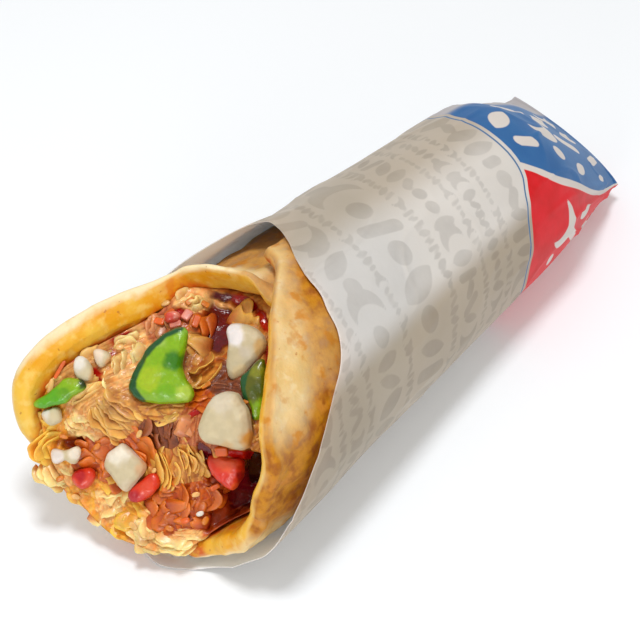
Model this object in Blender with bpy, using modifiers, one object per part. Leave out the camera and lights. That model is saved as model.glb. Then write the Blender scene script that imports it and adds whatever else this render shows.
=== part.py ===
"""A fajita wrap lying in its paper sleeve.

The wrap lies along X with its open mouth at -X and its pinched paper tail at +X.
A flatbread is rolled once round a chicken filling, so that its outer end laps over
its inner end at the top. The mouth is cut slanting: the bread's far side reaches
out as a hood, its near side folds over as a flap, and the filling bulges between.
Lengths below are in millimetres and angles in degrees. An angle round the wrap is
0 at the near side, 90 at the top, 180 at the far side and 270 at the bottom.
"""
import math

import bmesh
import bpy
import numpy as np
from mathutils import Matrix, Vector

MM = 0.001

# The box of the whole wrap is centred over the origin by this shift
CENTRE_X = 5.021
CENTRE_Y = 3.058

# The round part of the wrap, measured on the paper's outer face
MOUTH_X = -80.0
MOUTH_RADIUS = 40.0
TAPER = 0.0562
FLAT_DROP = 1.5

# The paper's pinched tail, with a shoulder where the round part ends
TAIL_START = 70.0
TAIL_END = 121.0
TAIL_SHOULDER = 0.15
TAIL_HALF_WIDTH = 25.0
TAIL_HALF_HEIGHT = 3.5
TAIL_CENTRE_Y = 5.0
TAIL_CENTRE_Z = 13.5
TAIL_TILT = 17.0
TAIL_CLOSING = 1.22
TAIL_SINKING = 0.9
TAIL_NOSE = 2.2
TAIL_NOSE_TURNS = (35.0, 70.0)
TAIL_CROWDING = 0.14

# Layers from the outside in, with the depth of the bread's outer face under the paper's
PAPER_THICK = 0.6
BREAD_DEPTH = 1.8
BREAD_THICK = 6.0
LAYER_GAP = 0.5
FILLING_GAP = 1.0
BREAD_END = 96.0
FILLING_END = 91.0

# The flatbread is one sheet, numbered on past 360 where it laps over its inner end.
# From its inner end it lies a layer deeper, until it has stepped out at the far side.
INNER_END = 65.0
OUTER_END = 470.0
STEP_START = 118.0
STEP_END = 158.0
RIM_ROUND = 2.2
RIM_BLUNTNESS = 0.45
RIM_CROWDING = 1.35

# The far side swells out as a hood: how far, and the angles and places where it starts
# and is full. Its rim has a rolled lip, and the near side's rim curls in.
HOOD_FLARE = 7.5
HOOD_RISING = (105.0, 150.0)
HOOD_FALLING = (215.0, 160.0)
HOOD_ALONG = (8.0, -36.0)
HOOD_LIP = 1.4
LIP_LENGTH = 8.0
LIP_RISING = (88.0, 100.0)
LIP_FALLING = (185.0, 160.0)
NEAR_CURL = 3.5
CURL_RISING = (280.0, 310.0)
CURL_FALLING = (385.0, 360.0)
CURL_ALONG = (-72.0, -97.0)

# Where the bread's rim and the paper's rim lie: angle round the wrap, place along X
BREAD_RIM = [
    (65, -47), (95, -53), (115, -55), (130, -58), (140, -63), (147, -75), (153, -88),
    (160, -100), (170, -108.5), (185, -112), (205, -112), (230, -110.5), (255, -106),
    (285, -100), (330, -99), (360, -97), (380, -94), (395, -88.5), (410, -79), (425, -67.5),
    (440, -57), (455, -44.5), (470, -39.5),
]
PAPER_RIM = [
    (-100, -104), (-90, -107), (-65, -98), (-40, -95), (-10, -90), (5, -82), (20, -70.5),
    (48, -51), (80, -42.5), (110, -31.5), (122, -31), (135, -40), (145, -53), (160, -67),
    (175, -76), (200, -84), (230, -88), (260, -104),
]

# The paper's rim runs once round from the bottom of the near side
PAPER_TURNS = (-100.0, 260.0)

# Where the filling lies a layer deeper, because the bread is double there
SEAM_RISING = (46.0, 60.0)

# Where the filling's front meets the bread, and the middle of that front
FILLING_EDGE = [
    (0, -72), (30, -66), (50, -60), (70, -53), (90, -48), (110, -47), (130, -52), (145, -66),
    (154, -77), (162, -95), (172, -104.5), (180, -108), (200, -112), (225, -112), (265, -110),
    (280, -107), (293, -101), (305, -90), (320, -78), (340, -74), (360, -72),
]
FACE_CENTRE = (-91.0, 0.0, 38.0)
FACE_SWELL = 1.7
FACE_NORMAL = Vector((-0.67, -0.25, 0.70)).normalized()

# The face's own directions: rightwards and upwards as one looks into the mouth
FACE_UP = (Vector((0, 0, 1)) - FACE_NORMAL * FACE_NORMAL.z).normalized()
FACE_RIGHT = FACE_UP.cross(FACE_NORMAL)

# Room that the filling leaves round the bread, the paper and each topping
CUT_CLEARANCE = 0.45

# Sheets of shaved chicken, laid in stacks on the face: angle round the wrap, share of
# the way to the edge, turn in the face, length, width, tilt out of it, count, spacing
CHICKEN_STACKS = [
    (182, 0.64, -29, 14.0, 7.0, 50, 6, 2.4),
    (168, 0.58, -27, 17.0, 7.0, 48, 3, 2.6),
    (186, 0.80, -37, 8.0, 5.0, 55, 3, 1.9),
    (198, 0.93, -67, 13.0, 6.0, 50, 2, 2.3),
    (162, 0.84, -67, 9.0, 6.0, 55, 4, 2.3),
    (158, 0.34, 3, 15.0, 8.0, 25, 2, 2.6),
    (175, 0.20, -72, 6.5, 4.0, 60, 4, 2.1),
    (104, 0.60, 53, 14.0, 8.0, 35, 2, 3.4),
    (128, 0.80, -72, 12.0, 6.0, 45, 3, 2.7),
    (104, 0.90, -27, 11.0, 5.0, 40, 2, 2.6),
    (68, 0.26, 83, 8.0, 6.0, 30, 1, 0.0),
    (252, 0.38, -67, 16.0, 8.0, 35, 2, 3.6),
    (300, 0.26, -62, 12.0, 6.0, 50, 3, 3.0),
    (296, 0.64, -67, 12.0, 6.0, 50, 3, 3.0),
    (310, 0.62, -7, 8.0, 6.0, 30, 1, 0.0),
    (276, 0.84, -2, 13.0, 6.0, 45, 2, 2.7),
    (252, 0.90, -47, 11.0, 7.0, 50, 3, 2.6),
    (290, 0.96, -42, 9.0, 6.0, 45, 2, 2.6),
    (236, 0.86, 8, 12.0, 6.0, 50, 3, 2.3),
    (224, 0.78, -57, 7.0, 5.0, 55, 2, 2.3),
    (213, 0.97, -17, 11.0, 6.0, 50, 3, 2.4),
    (208, 0.76, 33, 9.0, 7.0, 30, 2, 2.7),
    (170, 0.92, 78, 9.0, 3.5, 55, 1, 0.0),
    (152, 0.88, 38, 13.0, 6.0, 50, 3, 2.5),
]
SHEET_THICK = 1.5
SHEET_ROOT = 2.2
SHEET_RUFFLE = 0.9
SHEET_WAVES = 1.6
SHEET_SAG = 0.16
SHEET_STATIONS = 5
SHEET_SECTION = [(0.0, 1), (0.55, 1), (1.0, 1), (1.0, -1), (0.55, -1), (0.0, -1)]
LAYOUT_SEED = 11

# How far a sheet may differ from its stack: turn, place along and out, length, tilt
UNEVEN_TURN = 7.0
UNEVEN_PLACE = 1.2
UNEVEN_HEIGHT = 0.4
UNEVEN_LENGTH = 0.15
UNEVEN_TILT = 8.0

# A topping is three rings of its outline: height in its thickness and size of the ring.
# The room cut for it is wider at the outline's hollow corners, which soften outwards.
TOPPING_RINGS = ((-0.5, 0.80), (0.0, 1.06), (0.5, 0.84))
HOLLOW_MARGIN = 4.0

# Toppings: kind, angle round the wrap, share of the way to the edge, thickness,
# how far the middle stands out of the core, and the outline seen from the front
TOPPINGS = [
    ("cheese_chunk_1", 86, 0.78, 7.0, 1.2,
     [(-6.2, 5.7), (-4.3, 7.0), (-1.2, 7.2), (1.8, 6.9), (5.7, 5.4), (6.9, 1.5), (4.8, -2.6),
      (1.7, -7.8), (-0.5, -9.8), (-2.5, -9.6), (-4.1, -4.3), (-4.0, 0.5), (-5.5, 2.8)]),
    ("cheese_chunk_2", 40, 0.49, 8.0, 1.4,
     [(-4.8, 7.1), (-1.9, 8.8), (2.0, 9.3), (3.2, 6.8), (5.1, 5.9), (6.1, 4.1), (6.9, 1.7),
      (9.9, -6.2), (2.9, -6.8), (-0.4, -6.2), (-4.8, -7.3), (-7.3, -5.2), (-7.9, -2.7),
      (-7.1, 1.9), (-6.0, 5.0)]),
    ("cheese_chunk_3", 224, 0.59, 7.0, 1.6,
     [(-2.6, 5.6), (-2.1, 7.4), (-0.2, 5.9), (3.7, 4.3), (5.6, 2.6), (7.0, 1.7), (5.6, -1.9),
      (3.2, -5.8), (2.4, -7.1), (0.1, -6.1), (-2.2, -3.6), (-5.4, -2.0), (-6.1, -0.3),
      (-5.7, 3.2)]),
    ("cheese_chunk_4", 162, 0.90, 4.0, 1.8,
     [(-2.5, 3.0), (-1.0, 3.8), (0.9, 3.3), (2.8, 1.4), (4.0, -0.8), (3.7, -2.4), (1.9, -3.2),
      (-0.8, -3.1), (-2.1, -0.4)]),
    ("cheese_chunk_5", 181, 0.93, 4.0, 1.2,
     [(-3.4, 0.7), (0.1, 1.6), (0.5, 2.8), (2.4, 2.6), (2.9, 0.6), (3.9, -0.8), (2.3, -2.2),
      (0.6, -3.3), (-2.1, -1.9)]),
    ("cheese_chunk_6", 202, 0.91, 4.0, 1.4,
     [(-4.5, 1.8), (-1.1, 1.2), (1.3, 2.0), (3.7, 4.2), (4.9, 2.5), (4.8, -1.0), (3.3, -1.7),
      (1.9, -0.7), (0.1, -0.8), (-0.9, -2.2), (-2.6, -3.1), (-3.7, -1.0)]),
    ("cheese_chunk_7", 159, 0.90, 4.0, 0.8,
     [(-2.3, 2.3), (-0.3, 2.8), (2.9, 2.2), (3.8, 1.0), (2.3, -1.0), (1.5, -2.4), (0.2, -2.2),
      (-1.2, -0.4)]),
    ("pepper_piece_1", 142, 0.56, 6.0, 3.0,
     [(-8.6, -7.5), (-8.2, -4.8), (-7.1, 0.0), (-5.7, 5.0), (-3.7, 8.4), (-0.7, 11.5),
      (3.0, 14.4), (5.8, 13.7), (6.1, 8.4), (5.9, 5.3), (6.6, 0.9), (8.9, -1.4), (11.7, -2.8),
      (11.7, -6.7), (9.1, -7.3), (4.7, -8.5), (-4.5, -10.5)]),
    ("pepper_piece_2", 52, 0.74, 4.5, 1.4,
     [(0.7, 9.1), (1.7, 7.9), (3.2, 3.0), (4.0, -1.5), (4.3, -6.6), (3.4, -8.7), (1.8, -9.1),
      (1.6, -6.7), (0.3, -4.7), (-1.4, -4.0), (-3.0, -2.4), (-4.1, -0.1), (-4.5, 2.5),
      (-2.9, 4.2), (-1.4, 6.9)]),
    ("pepper_piece_3", 171, 0.90, 4.0, 2.0,
     [(-0.1, 3.4), (1.6, 5.1), (5.4, 5.2), (8.6, 3.4), (5.1, 1.0), (3.6, -0.5), (3.1, -3.0),
      (-1.9, -4.0), (-3.3, -5.8), (-7.2, -6.1), (-7.4, -4.7), (-4.5, -2.6), (-2.2, 0.4)]),
    ("tomato_dice_1", 335, 0.48, 6.0, 1.2,
     [(-7.0, 3.9), (-2.7, 3.6), (3.3, 4.4), (5.2, 4.1), (5.5, 1.4), (5.3, -1.7), (4.1, -3.3),
      (3.6, -5.6), (0.3, -4.3), (-3.7, -2.5), (-5.7, 0.8)]),
    ("tomato_dice_2", 249, 0.59, 5.0, 1.0,
     [(-4.2, -1.8), (-1.6, 1.8), (0.5, 4.4), (2.6, 5.5), (4.5, 3.6), (4.7, 1.1), (2.4, -2.0),
      (-0.4, -4.3), (-3.1, -4.9), (-4.2, -3.3)]),
    ("tomato_dice_3", 218, 0.88, 4.5, 1.0,
     [(-3.4, 1.9), (-0.1, 2.9), (3.2, 3.5), (3.8, 1.1), (3.1, -1.6), (1.6, -3.0), (-1.5, -3.1),
      (-3.6, -1.5)]),
    ("tomato_dice_4", 140, 0.87, 4.0, 1.2,
     [(-2.2, -0.3), (-0.5, 1.8), (1.9, 2.0), (3.2, 0.2), (1.4, -1.8), (-1.3, -2.0)]),
]

# Colour and roughness
PAPER_LOOK = ((0.62, 0.58, 0.54), 0.6)
BREAD_LOOK = ((0.80, 0.58, 0.26), 0.6)
CHICKEN_LOOK = ((0.80, 0.45, 0.16), 0.45)
TOPPING_LOOKS = {
    "cheese": ((0.80, 0.76, 0.66), 0.5),
    "pepper": ((0.23, 0.50, 0.03), 0.3),
    "tomato": ((0.75, 0.09, 0.04), 0.3),
}


def blend(start, end, share):
    return start + (end - start) * share


def smooth(start, end, value):
    share = np.clip((value - start) / (end - start), 0.0, 1.0)
    return share * share * (3.0 - 2.0 * share)


def through(knots, value):
    """A smooth curve through a few (place, value) knots."""
    places = np.array([knot[0] for knot in knots], float)
    values = np.array([knot[1] for knot in knots], float)
    slopes = np.gradient(values, places)
    index = np.clip(np.searchsorted(places, value) - 1, 0, len(places) - 2)
    span = places[index + 1] - places[index]
    t = np.clip((value - places[index]) / span, 0.0, 1.0)
    return ((2 * t**3 - 3 * t**2 + 1) * values[index]
            + (t**3 - 2 * t**2 + t) * span * slopes[index]
            + (3 * t**2 - 2 * t**3) * values[index + 1]
            + (t**3 - t**2) * span * slopes[index + 1])


def tail_share(x):
    """How far the tail has closed at x: 0 along the round part, 1 at the pinched end."""
    share = (x - TAIL_START) / (TAIL_END - TAIL_START)
    soft = share + np.sqrt(share**2 + TAIL_SHOULDER**2)
    return np.clip(soft / (1.0 + math.hypot(1.0, TAIL_SHOULDER)), 0.0, 1.0)


def section(x):
    """Half width, half height, centre and tilt of the paper's outer face at x."""
    radius = MOUTH_RADIUS - TAPER * (x - MOUTH_X)
    flat = tail_share(x)
    half_width = blend(radius, TAIL_HALF_WIDTH, flat)
    half_height = blend(radius, TAIL_HALF_HEIGHT, flat**TAIL_CLOSING)
    centre_y = blend(0.0, TAIL_CENTRE_Y, flat)
    centre_z = blend(radius - FLAT_DROP, TAIL_CENTRE_Z, flat**TAIL_SINKING)
    return half_width, half_height, centre_y, centre_z, math.radians(TAIL_TILT) * flat


def flare(x, angle):
    """How far the far side swells outwards, from the paper's rim out to the hood's."""
    turn = angle % 360.0
    round_share = smooth(*HOOD_RISING, turn) * smooth(*HOOD_FALLING, turn)
    rim = through(PAPER_RIM, np.clip(turn, *PAPER_TURNS))
    return HOOD_FLARE * round_share * smooth(*HOOD_ALONG, x - rim)


def place(x, angle, depth, rise=0.0):
    """A point at a depth inside the paper's outer face, in millimetres."""
    half_width, half_height, centre_y, centre_z, tilt = section(x)
    turn = np.radians(angle)
    out = rise + flare(x, angle) - depth
    across = -(half_width + out) * np.cos(turn)
    up = (half_height + out) * np.sin(turn)
    y = centre_y + across * np.cos(tilt) - up * np.sin(tilt)
    z = centre_z + across * np.sin(tilt) + up * np.cos(tilt)
    return x, y, np.maximum(z, depth)


def bread_turn(angle):
    """The bread's own number for its outer layer at an angle from 0 to 360."""
    return angle + 360.0 * (angle < INNER_END)


def bread_depth(angle):
    """Depth of the bread's outer face, one layer deeper at its inner end."""
    stepped_in = 1.0 - smooth(STEP_START, STEP_END, angle)
    return BREAD_DEPTH + (BREAD_THICK + LAYER_GAP) * stepped_in


def bread_rise(x, angle):
    """The lip rolled out to full height along the hood, less the curl of the near side."""
    hood = smooth(*LIP_RISING, angle) * smooth(*LIP_FALLING, angle)
    near = smooth(*CURL_RISING, angle) * smooth(*CURL_FALLING, angle)
    height = HOOD_LIP + bread_depth(angle) - BREAD_DEPTH
    lip = height * hood * smooth(LIP_LENGTH, 0.0, x - through(BREAD_RIM, angle))
    return lip - NEAR_CURL * near * smooth(*CURL_ALONG, x)


def filling_depth(angle):
    """Depth of the filling's side wall, just inside the bread."""
    turn = angle % 360.0
    under_seam = smooth(*SEAM_RISING, turn) * (1.0 - smooth(STEP_START, STEP_END, turn))
    return (BREAD_DEPTH + BREAD_THICK + FILLING_GAP
            + (BREAD_THICK + LAYER_GAP) * under_seam)


def filling_wall(x, angle):
    """A point of the filling's side wall."""
    return place(x, angle, filling_depth(angle), bread_rise(x, bread_turn(angle)))


def face_point(angle, share):
    """A point of the filling's front: share 0 is its middle and 1 its edge."""
    turn = angle % 360.0
    edge_x = through(FILLING_EDGE, turn)
    _, edge_y, edge_z = filling_wall(edge_x, turn)
    centre_x, centre_y, centre_z = FACE_CENTRE
    return (blend(centre_x, edge_x, share**FACE_SWELL),
            blend(centre_y, edge_y, share),
            blend(centre_z, edge_z, share))


def to_metres(point):
    x, y, z = point
    return Vector(((float(x) - CENTRE_X) * MM, (float(y) - CENTRE_Y) * MM, float(z) * MM))


def join_rings(mesh, rings):
    """A loft of faces between closed rings, each ring a list of as many vertices."""
    for ring, following in zip(rings, rings[1:]):
        for index in range(len(ring)):
            mesh.faces.new((ring[index - 1], ring[index], following[index], following[index - 1]))


def finish(name, mesh, look, collection):
    """Turn a bmesh into a named object, with its own material where it has a look."""
    bmesh.ops.recalc_face_normals(mesh, faces=mesh.faces)
    data = bpy.data.meshes.new(name)
    mesh.to_mesh(data)
    mesh.free()
    data.shade_smooth()
    data.set_sharp_from_angle(angle=math.radians(50.0))
    piece = bpy.data.objects.new(name, data)
    collection.objects.link(piece)
    if look:
        data.materials.append(plain_material(name, *look))
    return piece


def plain_material(name, colour, roughness):
    material = bpy.data.materials.new(name)
    material.use_nodes = True
    shader = material.node_tree.nodes["Principled BSDF"]
    shader.inputs["Base Color"].default_value = (*colour, 1.0)
    shader.inputs["Roughness"].default_value = roughness
    return material


def paper_stations(rim, count):
    """Places along X from the paper's rim to its pinched end, closer at the tail."""
    share = np.linspace(0.0, 1.0, count)
    return rim + (TAIL_END - rim) * (share + TAIL_CROWDING * np.sin(math.pi * share))


def build_paper(name, collection, grow=0.0, columns=40, rows=14):
    """The paper sleeve: an open sheet round the wrap, made solid inwards."""
    mesh = bmesh.new()
    angles = np.linspace(*PAPER_TURNS, columns, endpoint=False)
    stations = [paper_stations(through(PAPER_RIM, angle) - grow, rows) for angle in angles]
    rings = []
    for row in range(rows):
        ring = [place(stations[k][row], angle, -grow) for k, angle in enumerate(angles)]
        rings.append([mesh.verts.new(to_metres(point)) for point in ring])
    rings += paper_nose(mesh, angles, grow)
    join_rings(mesh, rings)
    mesh.faces.new(rings[-1])
    paper = finish(name, mesh, PAPER_LOOK, collection)
    solid = paper.modifiers.new("paper thickness", "SOLIDIFY")
    solid.thickness = (PAPER_THICK + 2.0 * grow) * MM
    solid.offset = -1.0
    return paper


def paper_nose(mesh, angles, grow):
    """Rings that round the pinched end of the paper."""
    half_width, half_height, centre_y, centre_z, tilt = section(TAIL_END)
    rings = []
    for turn in np.radians(TAIL_NOSE_TURNS):
        ring = []
        for angle in np.radians(angles):
            across = -(half_width + grow) * math.cos(angle)
            up = (half_height + grow) * math.cos(turn) * math.sin(angle)
            point = (TAIL_END + (TAIL_NOSE + grow) * math.sin(turn),
                     centre_y + across * math.cos(tilt) - up * math.sin(tilt),
                     centre_z + across * math.sin(tilt) + up * math.cos(tilt))
            ring.append(mesh.verts.new(to_metres(point)))
        rings.append(ring)
    return rings


def bread_profile(angle, grow, rows):
    """One lengthwise cut through the bread: out along its outer face, back along its inner."""
    rim = through(BREAD_RIM, angle) - grow
    outer = bread_depth(angle) - grow
    inner = outer + BREAD_THICK + 2.0 * grow
    middle = 0.5 * (outer + inner)
    along = np.linspace(0.0, 1.0, rows)**RIM_CROWDING
    places = (rim + RIM_ROUND) + (BREAD_END + grow - rim - RIM_ROUND) * along
    outward = [(x, outer) for x in places[::-1]]
    nose = [(rim + 0.3 * RIM_ROUND, blend(outer, middle, RIM_BLUNTNESS)), (rim, middle),
            (rim + 0.3 * RIM_ROUND, blend(inner, middle, RIM_BLUNTNESS))]
    inward = [(x, inner) for x in places]
    return [place(x, angle, depth, bread_rise(x, angle)) for x, depth in outward + nose + inward]


def build_bread(name, collection, grow=0.0, columns=52, rows=8):
    """The flatbread: one thick sheet lofted round the wrap from inner to outer end."""
    mesh = bmesh.new()
    rings = []
    angles = np.linspace(INNER_END, OUTER_END, columns)
    angles[0] -= grow
    angles[-1] += grow
    for angle in angles:
        profile = bread_profile(angle, grow, rows)
        rings.append([mesh.verts.new(to_metres(point)) for point in profile])
    join_rings(mesh, rings)
    for ring in (rings[0], rings[-1]):
        last = len(ring) - 1
        for index in range(rows - 1):
            mesh.faces.new((ring[index], ring[index + 1], ring[last - index - 1], ring[last - index]))
        mesh.faces.new(ring[rows - 1:rows + 4])
    return finish(name, mesh, BREAD_LOOK, collection)


def build_core(name, collection, columns=36, front_rings=4, side_rings=5):
    """The bare core of the filling: its swelling front and its side wall to the tail."""
    mesh = bmesh.new()
    angles = np.linspace(0.0, 360.0, columns, endpoint=False)
    rings = []
    for share in np.linspace(0.0, 1.0, front_rings + 1)[1:]:
        rings.append([mesh.verts.new(to_metres(face_point(angle, share))) for angle in angles])
    for share in np.linspace(0.0, 1.0, side_rings + 1)[1:]:
        ring = []
        for angle in angles:
            x = blend(through(FILLING_EDGE, angle), FILLING_END, share)
            ring.append(mesh.verts.new(to_metres(filling_wall(x, angle))))
        rings.append(ring)
    join_rings(mesh, rings)
    middle = mesh.verts.new(to_metres(FACE_CENTRE))
    for index, vertex in enumerate(rings[0]):
        mesh.faces.new((middle, rings[0][(index + 1) % columns], vertex))
    mesh.faces.new(rings[-1])
    return finish(name, mesh, CHICKEN_LOOK, collection)


def face_frame(angle, share):
    """The matrix of a spot on the face: X rightwards, Y upwards, Z out of the mouth."""
    spot = to_metres(face_point(angle, share))
    turn = Matrix((FACE_RIGHT, FACE_UP, FACE_NORMAL)).transposed().to_4x4()
    return Matrix.Translation(spot) @ turn


def build_sheet(frame, length, width, tilt, phase, collection):
    """One ruffled sheet of chicken, rooted in the core and leaning out of it."""
    mesh = bmesh.new()
    rings = []
    for u in np.linspace(-1.0, 1.0, SHEET_STATIONS):
        reach = width * (1.0 - 0.4 * u * u)
        sag = SHEET_ROOT + SHEET_SAG * 0.5 * length * u * u
        ring = []
        for v, face in SHEET_SECTION:
            half = 0.5 * SHEET_THICK * (1.0 - 0.45 * v) * face
            sway = SHEET_RUFFLE * v * math.sin(SHEET_WAVES * math.pi * u + phase)
            side = math.cos(tilt) * reach * v - math.sin(tilt) * half + sway
            out = math.sin(tilt) * reach * v + math.cos(tilt) * half - sag
            ring.append(mesh.verts.new(frame @ (Vector((0.5 * length * u, side, out)) * MM)))
        rings.append(ring)
    join_rings(mesh, rings)
    mesh.faces.new(rings[0])
    mesh.faces.new(rings[-1])
    return finish("sheet", mesh, None, collection)


def build_sheets(collection):
    """All the stacks of chicken, slightly uneven by a seeded draw."""
    draw = np.random.default_rng(LAYOUT_SEED)
    for angle, share, turn, length, width, tilt, count, spacing in CHICKEN_STACKS:
        for index in range(count):
            uneven = draw.uniform(-1.0, 1.0, 5)
            shift = spacing * (index - 0.5 * (count - 1)) * MM
            frame = (face_frame(angle, share)
                     @ Matrix.Rotation(math.radians(turn + UNEVEN_TURN * uneven[0]), 4, "Z")
                     @ Matrix.Translation((UNEVEN_PLACE * uneven[1] * MM, shift,
                                           UNEVEN_HEIGHT * uneven[2] * MM)))
            build_sheet(frame, length * (1.0 + UNEVEN_LENGTH * uneven[3]), width,
                        math.radians(tilt + UNEVEN_TILT * uneven[4]),
                        math.pi * uneven[2], collection)


def turns_inwards(outline, index):
    """Whether a clockwise outline has a hollow corner at this point."""
    before, here, after = (Vector(outline[k % len(outline)]) for k in (index - 1, index, index + 1))
    step, following = here - before, after - here
    return step.x * following.y - step.y * following.x > 0.0


def build_topping(name, angle, share, thick, proud, outline, collection, grow=0.0):
    """A chunk with soft edges, from its outline seen from the front and its thickness."""
    frame = face_frame(angle, share)
    mesh = bmesh.new()
    rings = []
    for height, shrink in TOPPING_RINGS:
        ring = []
        for index, (right, up) in enumerate(outline):
            margin = grow * (HOLLOW_MARGIN if turns_inwards(outline, index) else 1.25)
            reach = shrink + margin / math.hypot(right, up)
            level = proud + height * (thick + 2.5 * grow)
            ring.append(mesh.verts.new(frame @ (Vector((right * reach, up * reach, level)) * MM)))
        rings.append(ring)
    join_rings(mesh, rings)
    mesh.faces.new(rings[0])
    mesh.faces.new(rings[-1])
    piece = finish(name, mesh, TOPPING_LOOKS[name.split("_")[0]], collection)
    if grow:
        return piece
    soft = piece.modifiers.new("soft edges", "SUBSURF")
    soft.levels = 1
    soft.render_levels = 1
    return piece


def cut_or_join(piece, operation, collection):
    """Apply one Boolean with a whole collection, then remove the collection's objects.

    Many thin sheets cross here, which the exact solver leaves with open edges.
    """
    boolean = piece.modifiers.new(operation.lower(), "BOOLEAN")
    boolean.operation = operation
    boolean.operand_type = "COLLECTION"
    boolean.collection = collection
    boolean.solver = "MANIFOLD"
    graph = bpy.context.evaluated_depsgraph_get()
    data = bpy.data.meshes.new_from_object(piece.evaluated_get(graph))
    piece.modifiers.clear()
    piece.data = data
    for used in list(collection.objects):
        bpy.data.objects.remove(used)


def keep_largest_body(piece):
    """Drop the loose scraps that a cut leaves, and any sealed hollow's own skin.

    The cut's many-sided faces aren't quite flat, so they are made triangles first.
    """
    mesh = bmesh.new()
    mesh.from_mesh(piece.data)
    bmesh.ops.triangulate(mesh, faces=mesh.faces)
    bodies = []
    left = set(mesh.verts)
    while left:
        front = [left.pop()]
        body = set(front)
        while front:
            vertex = front.pop()
            for edge in vertex.link_edges:
                other = edge.other_vert(vertex)
                if other in left:
                    left.remove(other)
                    body.add(other)
                    front.append(other)
        bodies.append(body)
    bodies.sort(key=len)
    for body in bodies[:-1]:
        bmesh.ops.delete(mesh, geom=list(body), context="VERTS")
    mesh.to_mesh(piece.data)
    mesh.free()


def cutter_collection(name):
    cutters = bpy.data.collections.new(name)
    bpy.context.scene.collection.children.link(cutters)
    return cutters


def build_filling(collection):
    """The chicken: core and sheets in one, cut clear of bread, paper and toppings."""
    filling = build_core("chicken_filling", collection)
    sheets = cutter_collection("sheets of chicken")
    build_sheets(sheets)
    cut_or_join(filling, "UNION", sheets)
    room = cutter_collection("room for the neighbours")
    build_bread("bread room", room, CUT_CLEARANCE)
    build_paper("paper room", room, CUT_CLEARANCE)
    for topping in TOPPINGS:
        build_topping(*topping, room, CUT_CLEARANCE)
    cut_or_join(filling, "DIFFERENCE", room)
    keep_largest_body(filling)


def main():
    for piece in list(bpy.data.objects):
        bpy.data.objects.remove(piece)
    wrap = bpy.data.collections.new("fajita wrap")
    bpy.context.scene.collection.children.link(wrap)
    build_paper("paper_sleeve", wrap)
    build_bread("flatbread", wrap)
    for topping in TOPPINGS:
        build_topping(*topping, wrap)
    build_filling(wrap)


main()
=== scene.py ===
"""The looks of the fajita wrap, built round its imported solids.

Shapes are worked out as in the part's own source: in millimetres, with the wrap's
open mouth at -X and its paper tail at +X, and with angles round the wrap in degrees,
0 at the near side, 90 at the top, 180 at the far side and 270 at the bottom.
"""
import itertools
import math

import bmesh
import bpy
import numpy as np
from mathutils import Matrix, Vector
from mathutils.bvhtree import BVHTree


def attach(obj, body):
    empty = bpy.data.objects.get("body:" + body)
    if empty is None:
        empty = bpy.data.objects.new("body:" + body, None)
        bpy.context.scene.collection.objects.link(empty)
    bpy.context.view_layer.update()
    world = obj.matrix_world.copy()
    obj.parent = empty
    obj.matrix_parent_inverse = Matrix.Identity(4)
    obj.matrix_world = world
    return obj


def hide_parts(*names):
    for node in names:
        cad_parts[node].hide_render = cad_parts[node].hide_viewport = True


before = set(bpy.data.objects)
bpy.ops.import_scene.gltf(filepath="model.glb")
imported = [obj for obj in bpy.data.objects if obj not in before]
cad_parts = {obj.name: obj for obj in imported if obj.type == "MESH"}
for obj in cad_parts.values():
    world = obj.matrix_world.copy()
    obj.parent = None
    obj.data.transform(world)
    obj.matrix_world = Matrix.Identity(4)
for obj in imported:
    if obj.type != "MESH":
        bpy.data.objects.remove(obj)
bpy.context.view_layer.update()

MM = 0.001
SHIFT = np.array([5.021, 3.058, 0.0])

# The photo's view: where the camera looks from and at, how narrow its view is, and its
# focal length in pixels
VIEW_AZIMUTH = -51.44
VIEW_ELEVATION = 44.0
VIEW_DISTANCE = 558.6
VIEW_TARGET = np.array([-20.28, 5.45, 30.0])
VIEW_LENS = 101.25
SENSOR = 36.0
PICTURE = 640.0
FOCAL = VIEW_LENS / SENSOR * PICTURE

# The round part of the wrap, measured on the paper's outer face
MOUTH_X = -80.0
MOUTH_RADIUS = 40.0
TAPER = 0.0562
FLAT_DROP = 1.5

# The paper's pinched tail
TAIL_START = 70.0
TAIL_END = 121.0
TAIL_SHOULDER = 0.15
TAIL_HALF_WIDTH = 25.0
TAIL_HALF_HEIGHT = 3.5
TAIL_CENTRE_Y = 5.0
TAIL_CENTRE_Z = 13.5
TAIL_TILT = 17.0
TAIL_CLOSING = 1.22
TAIL_SINKING = 0.9
TAIL_NOSE = 2.2

# Layers from the outside in
BREAD_DEPTH = 1.8
BREAD_THICK = 6.0
LAYER_GAP = 0.5
FILLING_GAP = 1.0
BREAD_END = 96.0
FILLING_END = 91.0

# The flatbread's two ends, its step where the outer end laps over, and its rims. Where four
# turns are given, something rises over the first two of them and falls over the last two.
INNER_END = 65.0
OUTER_END = 470.0
STEP_START = 118.0
STEP_END = 158.0
RIM_ROUND = 2.2
HOOD_FLARE = 7.5
HOOD_TURNS = (105.0, 150.0, 160.0, 215.0)
HOOD_ALONG = (8.0, -36.0)
HOOD_LIP = 1.4
LIP_LENGTH = 8.0
LIP_TURNS = (88.0, 100.0, 160.0, 185.0)
NEAR_CURL = 3.5
CURL_TURNS = (280.0, 310.0, 360.0, 385.0)
CURL_ALONG = (-72.0, -97.0)
SEAM_RISING = (46.0, 60.0)
PAPER_TURNS = (-100.0, 260.0)

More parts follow.
